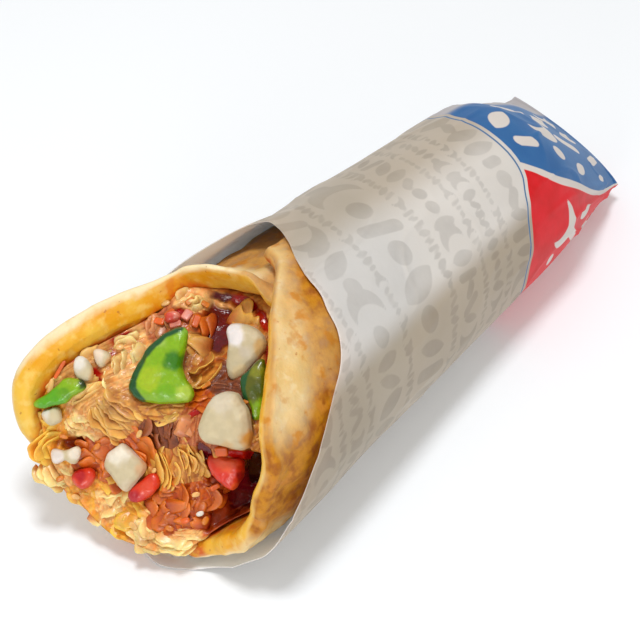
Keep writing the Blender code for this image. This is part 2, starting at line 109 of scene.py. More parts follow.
BREAD_RIM = [(65, -47), (95, -53), (115, -55), (130, -58), (140, -63), (147, -75), (153, -88),
             (160, -100), (170, -108.5), (185, -112), (205, -112), (230, -110.5), (255, -106),
             (285, -100), (330, -99), (360, -97), (380, -94), (395, -88.5), (410, -79),
             (425, -67.5), (440, -57), (455, -44.5), (470, -39.5)]
PAPER_RIM = [(-100, -104), (-90, -107), (-65, -98), (-40, -95), (-10, -90), (5, -82), (20, -70.5),
             (48, -51), (80, -42.5), (110, -31.5), (122, -31), (135, -40), (145, -53), (160, -67),
             (175, -76), (200, -84), (230, -88), (260, -104)]

# The filling's front
FILLING_EDGE = [(0, -72), (30, -66), (50, -60), (70, -53), (90, -48), (110, -47), (130, -52),
                (145, -66), (154, -77), (162, -95), (172, -104.5), (180, -108), (200, -112),
                (225, -112), (265, -110), (280, -107), (293, -101), (305, -90), (320, -78),
                (340, -74), (360, -72)]
FACE_CENTRE = (-91.0, 0.0, 38.0)
FACE_SWELL = 1.7
FACE_NORMAL = Vector((-0.67, -0.25, 0.70)).normalized()
FACE_UP = (Vector((0, 0, 1)) - FACE_NORMAL * FACE_NORMAL.z).normalized()
FACE_RIGHT = FACE_UP.cross(FACE_NORMAL)
FACE_TURN = np.array([FACE_RIGHT, FACE_UP, FACE_NORMAL])


def rgb(red, green, blue):
    """A colour as seen on screen, from 0 to 255, in the linear values of a shader."""
    seen = np.array([red, green, blue]) / 255.0
    linear = np.where(seen <= 0.04045, seen / 12.92, ((seen + 0.055) / 1.055)**2.4)
    return tuple(float(value) for value in linear)


# Shapes


def blend(start, end, share):
    return start + (end - start) * share


def smooth(start, end, value):
    """From 0 to 1 as a value goes from start to end, with soft corners."""
    share = np.clip((value - start) / (end - start), 0.0, 1.0)
    return share * share * (3.0 - 2.0 * share)


def window(turns, value):
    """From 0 to 1 over the first two turns, and back to 0 over the last two."""
    return smooth(turns[0], turns[1], value) * smooth(turns[3], turns[2], value)


def turned(across, up, turn):
    """A step across and up a plane, turned by an angle in radians."""
    cosine, sine = np.cos(turn), np.sin(turn)
    return across * cosine - up * sine, across * sine + up * cosine


def unit(vectors):
    """Vectors brought to a length of 1."""
    return vectors / np.linalg.norm(vectors, axis=-1, keepdims=True)


def through(knots, value):
    """A smooth curve through a few (place, value) knots."""
    places = np.array([knot[0] for knot in knots], float)
    values = np.array([knot[1] for knot in knots], float)
    slopes = np.gradient(values, places)
    index = np.clip(np.searchsorted(places, value) - 1, 0, len(places) - 2)
    span = places[index + 1] - places[index]
    t = np.clip((value - places[index]) / span, 0.0, 1.0)
    return ((2 * t**3 - 3 * t**2 + 1) * values[index]
            + (t**3 - 2 * t**2 + t) * span * slopes[index]
            + (3 * t**2 - 2 * t**3) * values[index + 1]
            + (t**3 - t**2) * span * slopes[index + 1])


def tail_share(x):
    """How far the tail has closed at x: 0 along the round part, 1 at the pinched end."""
    share = (x - TAIL_START) / (TAIL_END - TAIL_START)
    soft = share + np.sqrt(share**2 + TAIL_SHOULDER**2)
    return np.clip(soft / (1.0 + math.hypot(1.0, TAIL_SHOULDER)), 0.0, 1.0)


def section(x):
    """Half width, half height, centre and tilt of the paper's outer face at x."""
    radius = MOUTH_RADIUS - TAPER * (x - MOUTH_X)
    flat = tail_share(x)
    half_width = blend(radius, TAIL_HALF_WIDTH, flat)
    half_height = blend(radius, TAIL_HALF_HEIGHT, flat**TAIL_CLOSING)
    centre_y = blend(0.0, TAIL_CENTRE_Y, flat)
    centre_z = blend(radius - FLAT_DROP, TAIL_CENTRE_Z, flat**TAIL_SINKING)
    return half_width, half_height, centre_y, centre_z, math.radians(TAIL_TILT) * flat


def flare(x, angle):
    """How far the far side swells outwards, from the paper's rim out to the hood's."""
    turn = angle % 360.0
    rim = through(PAPER_RIM, np.clip(turn, *PAPER_TURNS))
    return HOOD_FLARE * window(HOOD_TURNS, turn) * smooth(*HOOD_ALONG, x - rim)


def place(x, angle, depth, rise=0.0):
    """Points at a depth inside the paper's outer face."""
    half_width, half_height, centre_y, centre_z, tilt = section(x)
    out = rise + flare(x, angle) - depth
    across, up = turned(-(half_width + out) * np.cos(np.radians(angle)),
                        (half_height + out) * np.sin(np.radians(angle)), tilt)
    z = np.maximum(centre_z + up, np.maximum(depth, 0.0))
    return np.stack(np.broadcast_arrays(x, centre_y + across, z), axis=-1)


def bread_turn(angle):
    """The bread's own number for its outer layer at an angle from 0 to 360."""
    return angle + 360.0 * (angle < INNER_END)


def bread_depth(angle):
    """Depth of the bread's outer face, one layer deeper at its inner end."""
    stepped_in = 1.0 - smooth(STEP_START, STEP_END, angle)
    return BREAD_DEPTH + (BREAD_THICK + LAYER_GAP) * stepped_in


def bread_rise(x, angle):
    """The lip rolled out to full height along the hood, less the curl of the near side."""
    height = HOOD_LIP + bread_depth(angle) - BREAD_DEPTH
    lip = (height * window(LIP_TURNS, angle)
           * smooth(LIP_LENGTH, 0.0, x - through(BREAD_RIM, angle)))
    return lip - NEAR_CURL * window(CURL_TURNS, angle) * smooth(*CURL_ALONG, x)


def filling_depth(angle, gap=FILLING_GAP):
    """Depth of the filling's side wall, a gap inside the bread."""
    turn = angle % 360.0
    under_seam = smooth(*SEAM_RISING, turn) * (1.0 - smooth(STEP_START, STEP_END, turn))
    return BREAD_DEPTH + BREAD_THICK + gap + (BREAD_THICK + LAYER_GAP) * under_seam


def filling_wall(x, angle):
    """Points of the filling's side wall."""
    return place(x, angle, filling_depth(angle), bread_rise(x, bread_turn(angle)))


def face_point(angle, share):
    """Points of the filling's front: share 0 is its middle and 1 its edge."""
    turn = np.asarray(angle, float) % 360.0
    edge_x = through(FILLING_EDGE, turn)
    edge = filling_wall(edge_x, turn)
    share = np.asarray(share, float)
    return np.stack([blend(FACE_CENTRE[0], edge[..., 0], share**FACE_SWELL),
                     blend(FACE_CENTRE[1], edge[..., 1], share),
                     blend(FACE_CENTRE[2], edge[..., 2], share)], axis=-1)


# Fixed noise


def draw_at(cells, seed):
    """A fixed draw from -1 to 1 for each whole-number point of space.

    The large numbers only scramble the bits of the point and the seed.
    """
    mixed = (cells[..., 0] * 73856093) ^ (cells[..., 1] * 19349663) ^ (cells[..., 2] * 83492791)
    mixed = (mixed ^ (seed * 2654435761)) & 0xFFFFFFFF
    mixed = ((mixed ^ (mixed >> 15)) * 2246822519) & 0xFFFFFFFF
    mixed = ((mixed ^ (mixed >> 13)) * 3266489917) & 0xFFFFFFFF
    return ((mixed ^ (mixed >> 16)) & 0xFFFF) / 32767.5 - 1.0


def noise(points, size, seed):
    """Smooth noise from about -1 to 1, with lumps of a size in millimetres."""
    scaled = np.asarray(points, float) / size
    cells = np.floor(scaled).astype(np.int64)
    part = scaled - cells
    part = part**3 * (part * (part * 6.0 - 15.0) + 10.0)
    total = 0.0
    for corner in itertools.product((0, 1), repeat=3):
        corner = np.array(corner)
        weight = np.prod(np.where(corner, part, 1.0 - part), axis=-1)
        total = total + weight * draw_at(cells + corner, seed)
    return total


def layered(points, layers):
    """Noise in layers, each with its height, the size of its lumps and its seed."""
    return sum(height * noise(points, size, seed) for height, size, seed in layers)


# Meshes


def ring_quads(rings, columns):
    """Faces between closed rings of points, ring after ring."""
    faces = []
    for ring in range(rings - 1):
        here = ring * columns
        below = here + columns
        for column in range(columns):
            beside = (column + 1) % columns
            faces.append((here + column, here + beside, below + beside, below + column))
    return faces


def tube_faces(rings, columns, start=0):
    """Faces of a tube of rings, with a flat face at either end."""
    faces = [tuple(start + index for index in face) for face in ring_quads(rings, columns)]
    for first in (start, start + (rings - 1) * columns):
        faces.append(tuple(range(first, first + columns)))
    return faces


def joined(tubes):
    """Points and faces of many tubes as one mesh."""
    points, faces, start = [], [], 0
    for rings in tubes:
        faces += tube_faces(*rings.shape[:2], start)
        points.append(rings.reshape(-1, 3))
        start += len(points[-1])
    return np.concatenate(points), faces


def outward(data):
    """Turn every face of a closed mesh outwards."""
    mesh = bmesh.new()
    mesh.from_mesh(data)
    bmesh.ops.recalc_face_normals(mesh, faces=mesh.faces)
    mesh.to_mesh(data)
    mesh.free()


def add_object(name, data):
    """An object of the scene from a mesh, a light or a camera."""
    added = bpy.data.objects.new(name, data)
    bpy.context.scene.collection.objects.link(added)
    return added


def add_values(data, values):
    """Named numbers or colours at a mesh's points."""
    for name, value in values.items():
        value = np.asarray(value, float).reshape(len(data.vertices), -1)
        if value.shape[1] == 3:
            value = np.column_stack([value, np.ones(len(value))])
            attribute = data.attributes.new(name, "FLOAT_COLOR", "POINT")
            attribute.data.foreach_set("color", value.ravel())
        else:
            attribute = data.attributes.new(name, "FLOAT", "POINT")
            attribute.data.foreach_set("value", value.ravel())


def dress(piece, material, replaced):
    """Give a piece its material and its body, and hide the node that it stands for."""
    piece.data.materials.clear()
    piece.data.materials.append(material)
    piece.data.shade_smooth()
    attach(piece, "root")
    if replaced:
        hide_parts(replaced)


def new_piece(name, points, faces, material, slot, replaced=None, **values):
    """A piece from points in millimetres, with named values or colours at its points."""
    data = bpy.data.meshes.new(name)
    data.from_pydata(((points.reshape(-1, 3) - SHIFT) * MM).tolist(), [], faces)
    add_values(data, values)
    outward(data)
    dress(add_object(name, data), material, replaced)


# Materials


class Shading:
    """A material and short ways to add nodes to it."""

    def __init__(self, name, roughness, **settings):
        self.material = bpy.data.materials.new(name)
        self.material.use_nodes = True
        self.tree = self.material.node_tree
        self.shader = self.tree.nodes["Principled BSDF"]
        self.shader.inputs["Roughness"].default_value = roughness
        for socket, value in settings.items():
            self.shader.inputs[socket.replace("_", " ")].default_value = value
        self.places = self.tree.nodes.new("ShaderNodeTexCoord").outputs["Object"]

    def put(self, socket, value):
        """Link a node's output to a socket, or set the socket's own value."""
        if isinstance(value, bpy.types.NodeSocket):
            self.tree.links.new(value, socket)
        elif isinstance(value, tuple):
            socket.default_value = (*value, 1.0)
        else:
            socket.default_value = value

    def node(self, kind, output, inputs, **settings):
        """An output of a new node, from the values of its inputs and its own settings."""
        node = self.tree.nodes.new("ShaderNode" + kind)
        for name, value in settings.items():
            setattr(node, name, value)
        for socket, value in inputs.items():
            self.put(node.inputs[socket], value)
        return node.outputs[output]

    def value(self, name):
        return self.node("Attribute", "Fac", {}, attribute_name=name)

    def colour(self, name):
        return self.node("Attribute", "Color", {}, attribute_name=name)

    def noise(self, size, detail):
        """Noise from 0 to 1, with lumps of a size in millimetres."""
        return self.node("TexNoise", "Fac", {"Vector": self.places, "Detail": detail,
                                             "Scale": 1.0 / (size * MM)})

    def step(self, value, low, high, start=0.0, end=1.0):
        """A smooth step from start to end as a value goes from low to high."""
        return self.node("MapRange", "Result", {"Value": value, "From Min": low, "From Max": high,
                                                "To Min": start, "To Max": end},
                         interpolation_type="SMOOTHSTEP")

    def times(self, first, second, operation="MULTIPLY"):
        return self.node("Math", "Value", {0: first, 1: second}, operation=operation)

    def mix(self, share, first, second):
        """A colour between two, which a Mix node takes at its inputs 6 and 7."""
        return self.node("Mix", 2, {0: share, 6: first, 7: second}, data_type="RGBA")

    def scaled(self, colour, factor):
        """A colour times a number."""
        return self.node("VectorMath", "Vector", {0: colour, "Scale": factor}, operation="SCALE")

    def base(self, colour):
        self.put(self.shader.inputs["Base Color"], colour)

    def rough(self, value):
        self.put(self.shader.inputs["Roughness"], value)

    def bump(self, height, depth):
        """Relief of a depth in millimetres."""
        normal = self.node("Bump", "Normal", {"Distance": depth * MM, "Height": height})
        self.put(self.shader.inputs["Normal"], normal)


# The paper sleeve

PAPER_COLUMNS = 240
PAPER_ROWS = 290
LINING_ROWS = 70
LINING_CROWDING = 1.7
PAPER_THICK = 0.25
LINING_GAP = 0.5
LINING_ALONG = (0.18, 0.36)
TAIL_SLANT = 5.5
SLANT_RISING = (-0.2, 0.95)
NOSE_TURNS = (20.0, 40.0, 60.0, 80.0)

# The paper's relief. Noise layers are given as height, size and seed, and ridges as size,
# seed and sharpness; both are drawn out along X by the stretches.
RELIEF_RADIUS = 34.0
BODY_STRETCH = np.array([0.45, 1.0, 1.0])
TAIL_STRETCH = np.array([0.30, 1.0, 1.0])
DENTS = ((0.495, 17.0, 3), (0.198, 8.0, 4))
CREASES = (13.0, 5, 5.0)
CREASE_HEIGHT = 0.35
PLEATS = (9.0, 6, 4.0)
PLEAT_HEIGHT = 0.9
PLEATS_ALONG = (45.0, 80.0)
RELIEF_SINK = 0.2
END_SHARE = 0.35
END_LENGTH = 12.0
RIM_RADIUS = 50.0
RIM_WAVES = ((0.8, 9.0, 12),)
# A fold along the near side
FOLD_HEIGHT = 0.7
FOLD_ANGLE = 37.0
FOLD_WIDTH = 5.0
FOLD_ALONG = (62.0, 40.0)
# The rim stands off the bread at the far side
RIM_LIFT = 1.9
LIFT_TURNS = (100.0, 118.0, 138.0, 172.0)
LIFT_LENGTH = 18.0
# A swell before the tail's far corner: its place along X and its angle
TAIL_SWELL = 2.6
SWELL_AT = (98.0, 124.0)
SWELL_REACH = (13.0, 24.0)

# Lengths round the paper are angles times a radius, less on the narrower tail
PRINT_RADIUS = 32.0
TAIL_PRINT_RADIUS = 25.6
SPLIT_RADIUS = 22.4
# Where the coloured fields of the tail begin: angle, place along X
FIELD_EDGE = [(-100, 37), (-50, 35.5), (-17, 35.6), (4, 37), (21, 40.5), (37, 44), (55, 50),
              (73, 52), (88, 53), (119, 55), (180, 56), (260, 44)]
# Where the blue field meets the red one: place along X, angle
FIELD_SPLIT = [(30, 66), (53, 55), (57.5, 47), (64.5, 36), (76.5, 26), (95, 15), (125, 6)]
FAR_SPLIT = 228.0
# Where the fields end at the far side, and where shade is painted on the plain paper, by
# angle: towards its underside and over its top
FAR_FIELD = (112.0, 122.0)
PAINTED_SHADE_BELOW = (42.0, 26.0)
PAINTED_SHADE_ABOVE = (68.0, 98.0)
PAINTED_SHADE_ABOVE_SHARE = 0.85


def leaf(across, along, length, width):
    """Distance to a pointed leaf, less than 0 inside it."""
    half_length, half_width = 0.5 * length, 0.5 * width
    middle = (half_length**2 - half_width**2) / (2.0 * half_width)
    radius = middle + half_width
    return np.hypot(along, np.abs(across) + middle) - radius


def crescent(across, along, length, width):
    """Distance to a bent pod, less than 0 inside it."""
    radius = 0.5 * length
    outer = np.hypot(across, along) - radius
    inner = radius - np.hypot(across - width, along)
    return np.maximum(outer, inner)


def dot(across, along, length, width):
    return np.hypot(across, along) - 0.5 * width


def bar(across, along, length, width):
    """Distance to a thick stroke with round ends, less than 0 inside it."""
    beyond = np.maximum(np.abs(along) - 0.5 * (length - width), 0.0)
    return np.hypot(across, beyond) - 0.5 * width


# Grey shapes of the print, each as shape, length, width and room along the row, all as
# shares of the row's height, and how far it may lean, and the heights of the rows in turn
PRINT_SHAPES = [(bar, 0.92, 0.26, 0.44, 0.5), (leaf, 1.0, 0.44, 0.56, 0.4),
                (crescent, 1.0, 0.36, 0.50, 0.2), (leaf, 0.80, 0.30, 0.42, 0.5),
                (dot, 0.46, 0.46, 0.56, 0.0), (bar, 0.60, 0.30, 0.42, 0.9)]
PRINT_ROWS = (7.0, 4.2, 13.0, 4.6, 17.0, 5.2, 10.0, 4.2)
PRINT_GAP = 1.5
PRINT_SKEW = 0.22
PRINT_ALONG = (-108.0, 60.0)
NO_MOTIF = 9.0


def print_motifs(draw):
    """Slanting rows of grey shapes over the paper's body."""
    placed = []
    start, end = (math.radians(turn) * PRINT_RADIUS for turn in PAPER_TURNS)
    row = PRINT_ALONG[0] - PRINT_SKEW * end
    for height in itertools.cycle(PRINT_ROWS):
        if row > PRINT_ALONG[1] - PRINT_SKEW * start:
            break
        s = start + draw.uniform(0.0, 0.5) * height
        while s < end:
            shape, length, width, room, lean = PRINT_SHAPES[draw.integers(len(PRINT_SHAPES))]
            middle = s + 0.5 * room * height
            turn = lean * draw.uniform(-1.0, 1.0) + (0.0 if draw.uniform() < 0.5 else math.pi)
            placed.append((row + 0.5 * height + PRINT_SKEW * middle, middle, turn, shape,
                           length * height, width * height))
            s += room * height
        row += height + PRINT_GAP
    return placed


def motif_distance(x, s, motifs):
    """Distance from each point of the paper to the nearest motif."""
    nearest = np.full(x.shape, NO_MOTIF)
    for at_x, at_s, turn, shape, length, width in motifs:
        close = (np.abs(x - at_x) < length) & (np.abs(s - at_s) < length)
        along, across = turned(x[close] - at_x, s[close] - at_s, -turn)
        nearest[close] = np.minimum(nearest[close], shape(across, along, length, width))
    return nearest


# White shapes on the tail's fields: place along X, angle, turn, shape, length, width
TAIL_MOTIFS = [
    (64.0, 88.0, 20.0, leaf, 12.0, 6.0),
    (63.0, 66.0, -25.0, bar, 9.0, 3.6),
    (78.0, 98.0, -25.0, bar, 13.0, 4.2),
    (79.0, 76.0, 15.0, crescent, 13.0, 5.5),
    (75.0, 52.0, 0.0, dot, 5.0, 5.0),
    (93.0, 92.0, 35.0, leaf, 14.0, 6.5),
    (92.0, 65.0, -20.0, bar, 13.0, 4.4),
    (86.0, 40.0, 20.0, leaf, 9.0, 4.5),
    (108.0, 106.0, 10.0, crescent, 12.0, 5.0),
    (108.0, 80.0, -10.0, leaf, 12.0, 5.5),
    (107.0, 52.0, 15.0, bar, 12.0, 4.2),
    (104.0, 30.0, 0.0, dot, 4.0, 4.0),
    (61.0, 8.0, 40.0, crescent, 15.0, 5.0),
    (70.0, -10.0, -40.0, bar, 12.0, 3.6),
    (80.0, 4.0, 15.0, leaf, 11.0, 5.0),
    (92.0, -18.0, -30.0, crescent, 13.0, 5.0),
    (55.0, -14.0, 0.0, dot, 4.0, 4.0),
    (72.0, 150.0, 40.0, leaf, 15.0, 6.5),
    (92.0, 148.0, -30.0, crescent, 14.0, 5.5),
    (75.0, 185.0, 0.0, bar, 14.0, 4.4),
    (95.0, 190.0, 50.0, leaf, 14.0, 6.0),
    (72.0, -60.0, 30.0, leaf, 14.0, 6.0),
    (92.0, 240.0, -20.0, crescent, 14.0, 5.5),
]


def ridges(points, size, seed, sharpness):
    """Thin ridges from 0 to 1, where a noise passes through zero."""
    return np.clip(1.0 - np.abs(noise(points, size, seed)) * sharpness, 0.0, 1.0)


def paper_relief(x, angle):
    """How far the paper stands out of its even form: soft dents, creases and crumple."""
    turn = np.radians(angle)
    spot = np.stack([x, RELIEF_RADIUS * np.cos(turn), RELIEF_RADIUS * np.sin(turn)], axis=-1)
    dents = layered(spot * BODY_STRETCH, DENTS)
    creases = CREASE_HEIGHT * ridges(spot * BODY_STRETCH, *CREASES)**2
    pleats = PLEAT_HEIGHT * smooth(*PLEATS_ALONG, x) * ridges(spot * TAIL_STRETCH, *PLEATS)**1.5
    fold = FOLD_HEIGHT * np.exp(-((angle - FOLD_ANGLE) / FOLD_WIDTH)**2) * smooth(*FOLD_ALONG, x)
    lifted = (RIM_LIFT * window(LIFT_TURNS, angle)
              * smooth(LIFT_LENGTH, 0.0, x - through(PAPER_RIM, angle)))
    swell = TAIL_SWELL * np.exp(-((x - SWELL_AT[0]) / SWELL_REACH[0])**2
                                - ((angle - SWELL_AT[1]) / SWELL_REACH[1])**2)
    end = smooth(TAIL_END, TAIL_END - END_LENGTH, x)
    return ((dents + creases + fold - RELIEF_SINK) * blend(END_SHARE, 1.0, end)
            + (pleats + swell) * end + lifted)


def paper_end(angles):
    """Where the sleeve ends: a little shorter at the near side."""
    return TAIL_END - TAIL_SLANT * smooth(*SLANT_RISING, np.cos(np.radians(angles)))


def paper_surface(angles, share, inset):
    """Rows of points at shares of the way from the paper's rim to its pinched end."""
    turn = np.radians(angles)
    spot = RIM_RADIUS * np.stack([np.cos(turn), np.sin(turn), np.zeros(turn.shape)], axis=-1)
    rim = through(PAPER_RIM, angles) + layered(spot, RIM_WAVES)
    x = rim + (paper_end(angles) - rim) * share[:, None]
    angle = np.broadcast_to(angles, x.shape)
    return place(x, angle, inset - paper_relief(x, angle)), x, angle


def paper_nose(angles):
    """Rings that round the paper's pinched end."""
    end = paper_end(angles)
    half_width, half_height, centre_y, centre_z, tilt = section(end)
    turn = np.radians(angles)
    rings = []
    for nose in np.radians(NOSE_TURNS):
        across, up = turned(-half_width * np.cos(turn),
                            half_height * math.cos(nose) * np.sin(turn), tilt)
        rings.append(np.stack([end + TAIL_NOSE * math.sin(nose), centre_y + across,
                               centre_z + up], axis=-1))
    return np.array(rings)


def build_paper():
    angles = np.linspace(*PAPER_TURNS, PAPER_COLUMNS, endpoint=False)
    outer, x, angle = paper_surface(angles, np.linspace(0.0, 1.0, PAPER_ROWS), 0.0)
    share = np.linspace(0.0, 1.0, LINING_ROWS)**LINING_CROWDING
    inset = PAPER_THICK + LINING_GAP * smooth(*LINING_ALONG, share)[:, None]
    inner, inner_x, inner_angle = paper_surface(angles, share, inset)
    nose = paper_nose(angles)
    x = np.concatenate([inner_x[::-1], x, nose[..., 0]])
    angle = np.concatenate([inner_angle[::-1], angle, np.broadcast_to(angles, nose.shape[:2])])
    inside = np.zeros(x.shape)
    inside[:LINING_ROWS] = 1.0
    turn = np.radians(angle)
    motifs = print_motifs(np.random.default_rng(4))
    tail_motifs = [(at_x, math.radians(at) * TAIL_PRINT_RADIUS, math.radians(lean), *rest)
                   for at_x, at, lean, *rest in TAIL_MOTIFS]
    split = np.minimum(np.radians(angle - through(FIELD_SPLIT, x)) * SPLIT_RADIUS,
                       np.radians(FAR_SPLIT - angle) * PRINT_RADIUS)
    # Painted shade: the plain paper darker towards its underside and over its top
    darker = np.maximum(smooth(*PAINTED_SHADE_BELOW, angle), PAINTED_SHADE_ABOVE_SHARE * smooth(*PAINTED_SHADE_ABOVE, angle))
    new_piece("paper_sleeve_printed", np.concatenate([inner[::-1], outer, nose]),
              tube_faces(*x.shape), paper_material(), "paper", "paper_sleeve",
              motif=motif_distance(x, turn * PRINT_RADIUS, motifs),
              shape=motif_distance(x, turn * TAIL_PRINT_RADIUS, tail_motifs),
              beyond=x - through(FIELD_EDGE, angle), split=split,
              far=smooth(*FAR_FIELD, angle), darker=darker, inside=inside)


def paper_material():
    look = Shading("printed_paper", 0.5, Specular_IOR_Level=0.3, Subsurface_Weight=0.7,
                   Subsurface_Radius=(0.0014, 0.0013, 0.0012), Subsurface_Scale=1.0)
    cloud = look.noise(24.0, 3.0)
    plain = look.mix(cloud, rgb(204, 199, 193), rgb(220, 216, 212))
    # Painted shade colour: a darker, warmer paper
    dark = look.mix(cloud, rgb(160, 147, 128), rgb(184, 172, 156))
    plain = look.mix(look.value("darker"), plain, dark)
    motif = look.step(look.value("motif"), 0.3, -0.3)
    faded = look.step(look.noise(9.0, 3.0), 0.25, 0.75, 0.55, 1.0)
    grey = look.scaled(plain, 0.78)
    printed = look.mix(look.times(motif, faded), plain, grey)
    beyond = look.value("beyond")
    line = look.times(look.step(beyond, 0.0, 0.25), look.step(beyond, 1.0, 0.75))
    field = look.step(beyond, 2.3, 2.6)
    split = look.value("split")
    shape = look.step(look.value("shape"), 0.2, -0.2)
    blue = look.mix(look.noise(14.0, 2.0), rgb(24, 86, 148), rgb(60, 118, 174))
    red = look.mix(look.step(look.noise(9.0, 3.0), 0.3, 0.7), rgb(206, 0, 8), rgb(222, 14, 30))
    colours = look.mix(look.step(split, -0.1, 0.1), red, blue)
    stripe = look.times(look.step(split, -1.3, -1.0), look.step(split, 1.3, 1.0))
    light = look.times(stripe, shape, "MAXIMUM")
    colours = look.mix(light, colours, rgb(214, 206, 200))
    colours = look.mix(look.value("far"), colours, rgb(176, 172, 176))
    outside = look.mix(line, look.mix(field, plain, colours), rgb(70, 112, 158))
    body = look.mix(look.step(beyond, -0.3, -0.1), printed, outside)
    # The lining's colour, lighter and bluer than the outer paper, is partly the plain inside and
    # partly painted light that stands for light passing through the thin paper
    look.base(look.mix(look.value("inside"), body, rgb(240, 243, 252)))
    look.bump(look.noise(1.6, 4.0), 0.05)
    return look.material


# The flatbread

BREAD_COLUMNS = 440
BREAD_ROWS = 80
ROW_CROWDING = 1.9
RIM_POINTS = 7
END_ROUND = 7.0
END_SHARPEST = 0.995
RIM_STRETCH = 0.35
BREAD_RIM_WAVES = ((0.6, 6.0, 21), (0.3, 2.2, 22))
# Trims of the rim at the hood's top and low on the flap
HOOD_TRIM = 1.8
HOOD_TRIM_TURNS = (118.0, 138.0, 142.0, 158.0)
FLAP_TRIM = 1.6
FLAP_TRIM_TURNS = (335.0, 350.0, 378.0, 396.0)
# The hood is longer and its outer face swells where it leans farthest back, and sinks
# beside the paper
HOOD_LONGER = 0.8
HOOD_SINK = 0.7
HOOD_SWELL = 2.0
HOOD_SWELL_TURNS = (136.0, 150.0, 182.0, 208.0)
HOOD_FACE = (20.0, 6.0)
HOOD_RELIEF = 0.35
TROUGH = 1.2
TROUGH_TURNS = (106.0, 118.0, 150.0, 164.0)
TROUGH_ALONG = (9.0, 16.0)
OUTER_MOST = 1.4
# Blisters, and dimples and waves as height, size and seed
BLISTER_SIZE = 6.5
BLISTER_SPREAD = 0.10
DIMPLES = ((0.45, 15.0, 34), (0.34, 3.4, 32), (0.14, 1.5, 33))
BREAD_SINK = 0.25
INNER_RELIEF = 0.8
FACES_APART = 40.0
# The seam is smoother, from its inner end on
SEAM_SMOOTH = (45.0, 25.0)
SEAM_SHARE = 0.8
# How far round its rim the bread turns from its outer to its inner colour, by its angle
TURNING_IN = [(65, 0.2), (95, 0.05), (128, -0.1), (150, 0.25), (162, 0.5), (290, 0.75), (325, 0.4),
              (340, -0.2), (385, -0.2), (410, 0.4), (470, 0.4)]
TURNING_WAVES = ((0.25, 5.0, 35),)
TURNING_SOFT = 0.25

# Where the outer face is toasted, and where shade is painted on it low on the flap and in the
# trough beside the paper, by angle and by distance from the rim
FLAP_RISING = (330.0, 350.0)
LOW_SHADE_FALLING = (400.0, 378.0)
AWAY_ALONG = (14.0, 24.0)
AWAY_NEARER = 5.0
AWAY_RISING = (400.0, 420.0)
EDGE_ALONG = (3.0, 0.5)
TOP_RISING = (412.0, 448.0)
TOP_ALONG = (1.0, 9.0)
TROUGH_SHADE_ALONG = (12.0, 16.0)
END_FALLING = (112.0, 98.0)
# How much each part is browned: the flap, low on it (painted shade), away from its rim, its
# edge, the top, what is tucked in beside the paper (painted shade in the trough), and the
# inner end
TOAST_AND_SHADE_SHARES = (0.04, 0.95, 0.7, 0.6, 0.75, 0.7, 0.6)
# Where the hood's edge is pale, partly its own paler edge and partly painted highlight on the
# rolled lip, and where the inner wall has taken up sauce, with painted shade in the hollow low
# inside the flap
PALE_TURNS = (100.0, 114.0, 300.0, 330.0)
PALE_ALONG = (12.0, 7.0)
STAIN_ALONG = (-3.0, 1.0)
SHADED_HOLLOW_TURNS = (298.0, 314.0, 388.0, 402.0)
SHADED_HOLLOW_ALONG = (1.0, 7.0)
SHADED_HOLLOW_SHARE = 0.9


def bread_profile(angle):
    """One lengthwise cut: places along X, and where in the thickness each point lies."""
    rim = (through(BREAD_RIM, angle)
           + layered(np.array([RIM_STRETCH * angle, 0.0, 0.0]), BREAD_RIM_WAVES)
           + HOOD_TRIM * window(HOOD_TRIM_TURNS, angle)
           + FLAP_TRIM * window(FLAP_TRIM_TURNS, angle)
           - HOOD_LONGER * window(HOOD_SWELL_TURNS, angle))
    along = np.linspace(0.0, 1.0, BREAD_ROWS)**ROW_CROWDING
    places = (rim + RIM_ROUND) + (BREAD_END - rim - RIM_ROUND) * along
    turns = np.radians(np.linspace(90.0, -90.0, RIM_POINTS + 2)[1:-1])
    nose = rim + RIM_ROUND * (1.0 - np.cos(turns))
    x = np.concatenate([places[::-1], nose, places])
    level = np.concatenate([np.ones(BREAD_ROWS), np.sin(turns), -np.ones(BREAD_ROWS)])
    return x, level, rim


def bread_relief(spot):
    """Blisters, dimples and waves of the baked bread."""
    blisters = np.clip(noise(spot, BLISTER_SIZE, 31) + BLISTER_SPREAD, 0.0, 1.0)
    return blisters + layered(spot, DIMPLES) - BREAD_SINK


def hood_relief(relief, angle, from_rim):
    """The outer face's relief, with what the hood's form adds to it."""
    near_rim = smooth(*HOOD_FACE, from_rim)
    outer = blend(relief, HOOD_RELIEF * relief - HOOD_SINK, window(LIP_TURNS, angle) * near_rim)
    outer = outer + HOOD_SWELL * window(HOOD_SWELL_TURNS, angle) * near_rim
    outer = outer - TROUGH * window(TROUGH_TURNS, angle) * smooth(*TROUGH_ALONG, from_rim)
    return np.minimum(outer, OUTER_MOST)


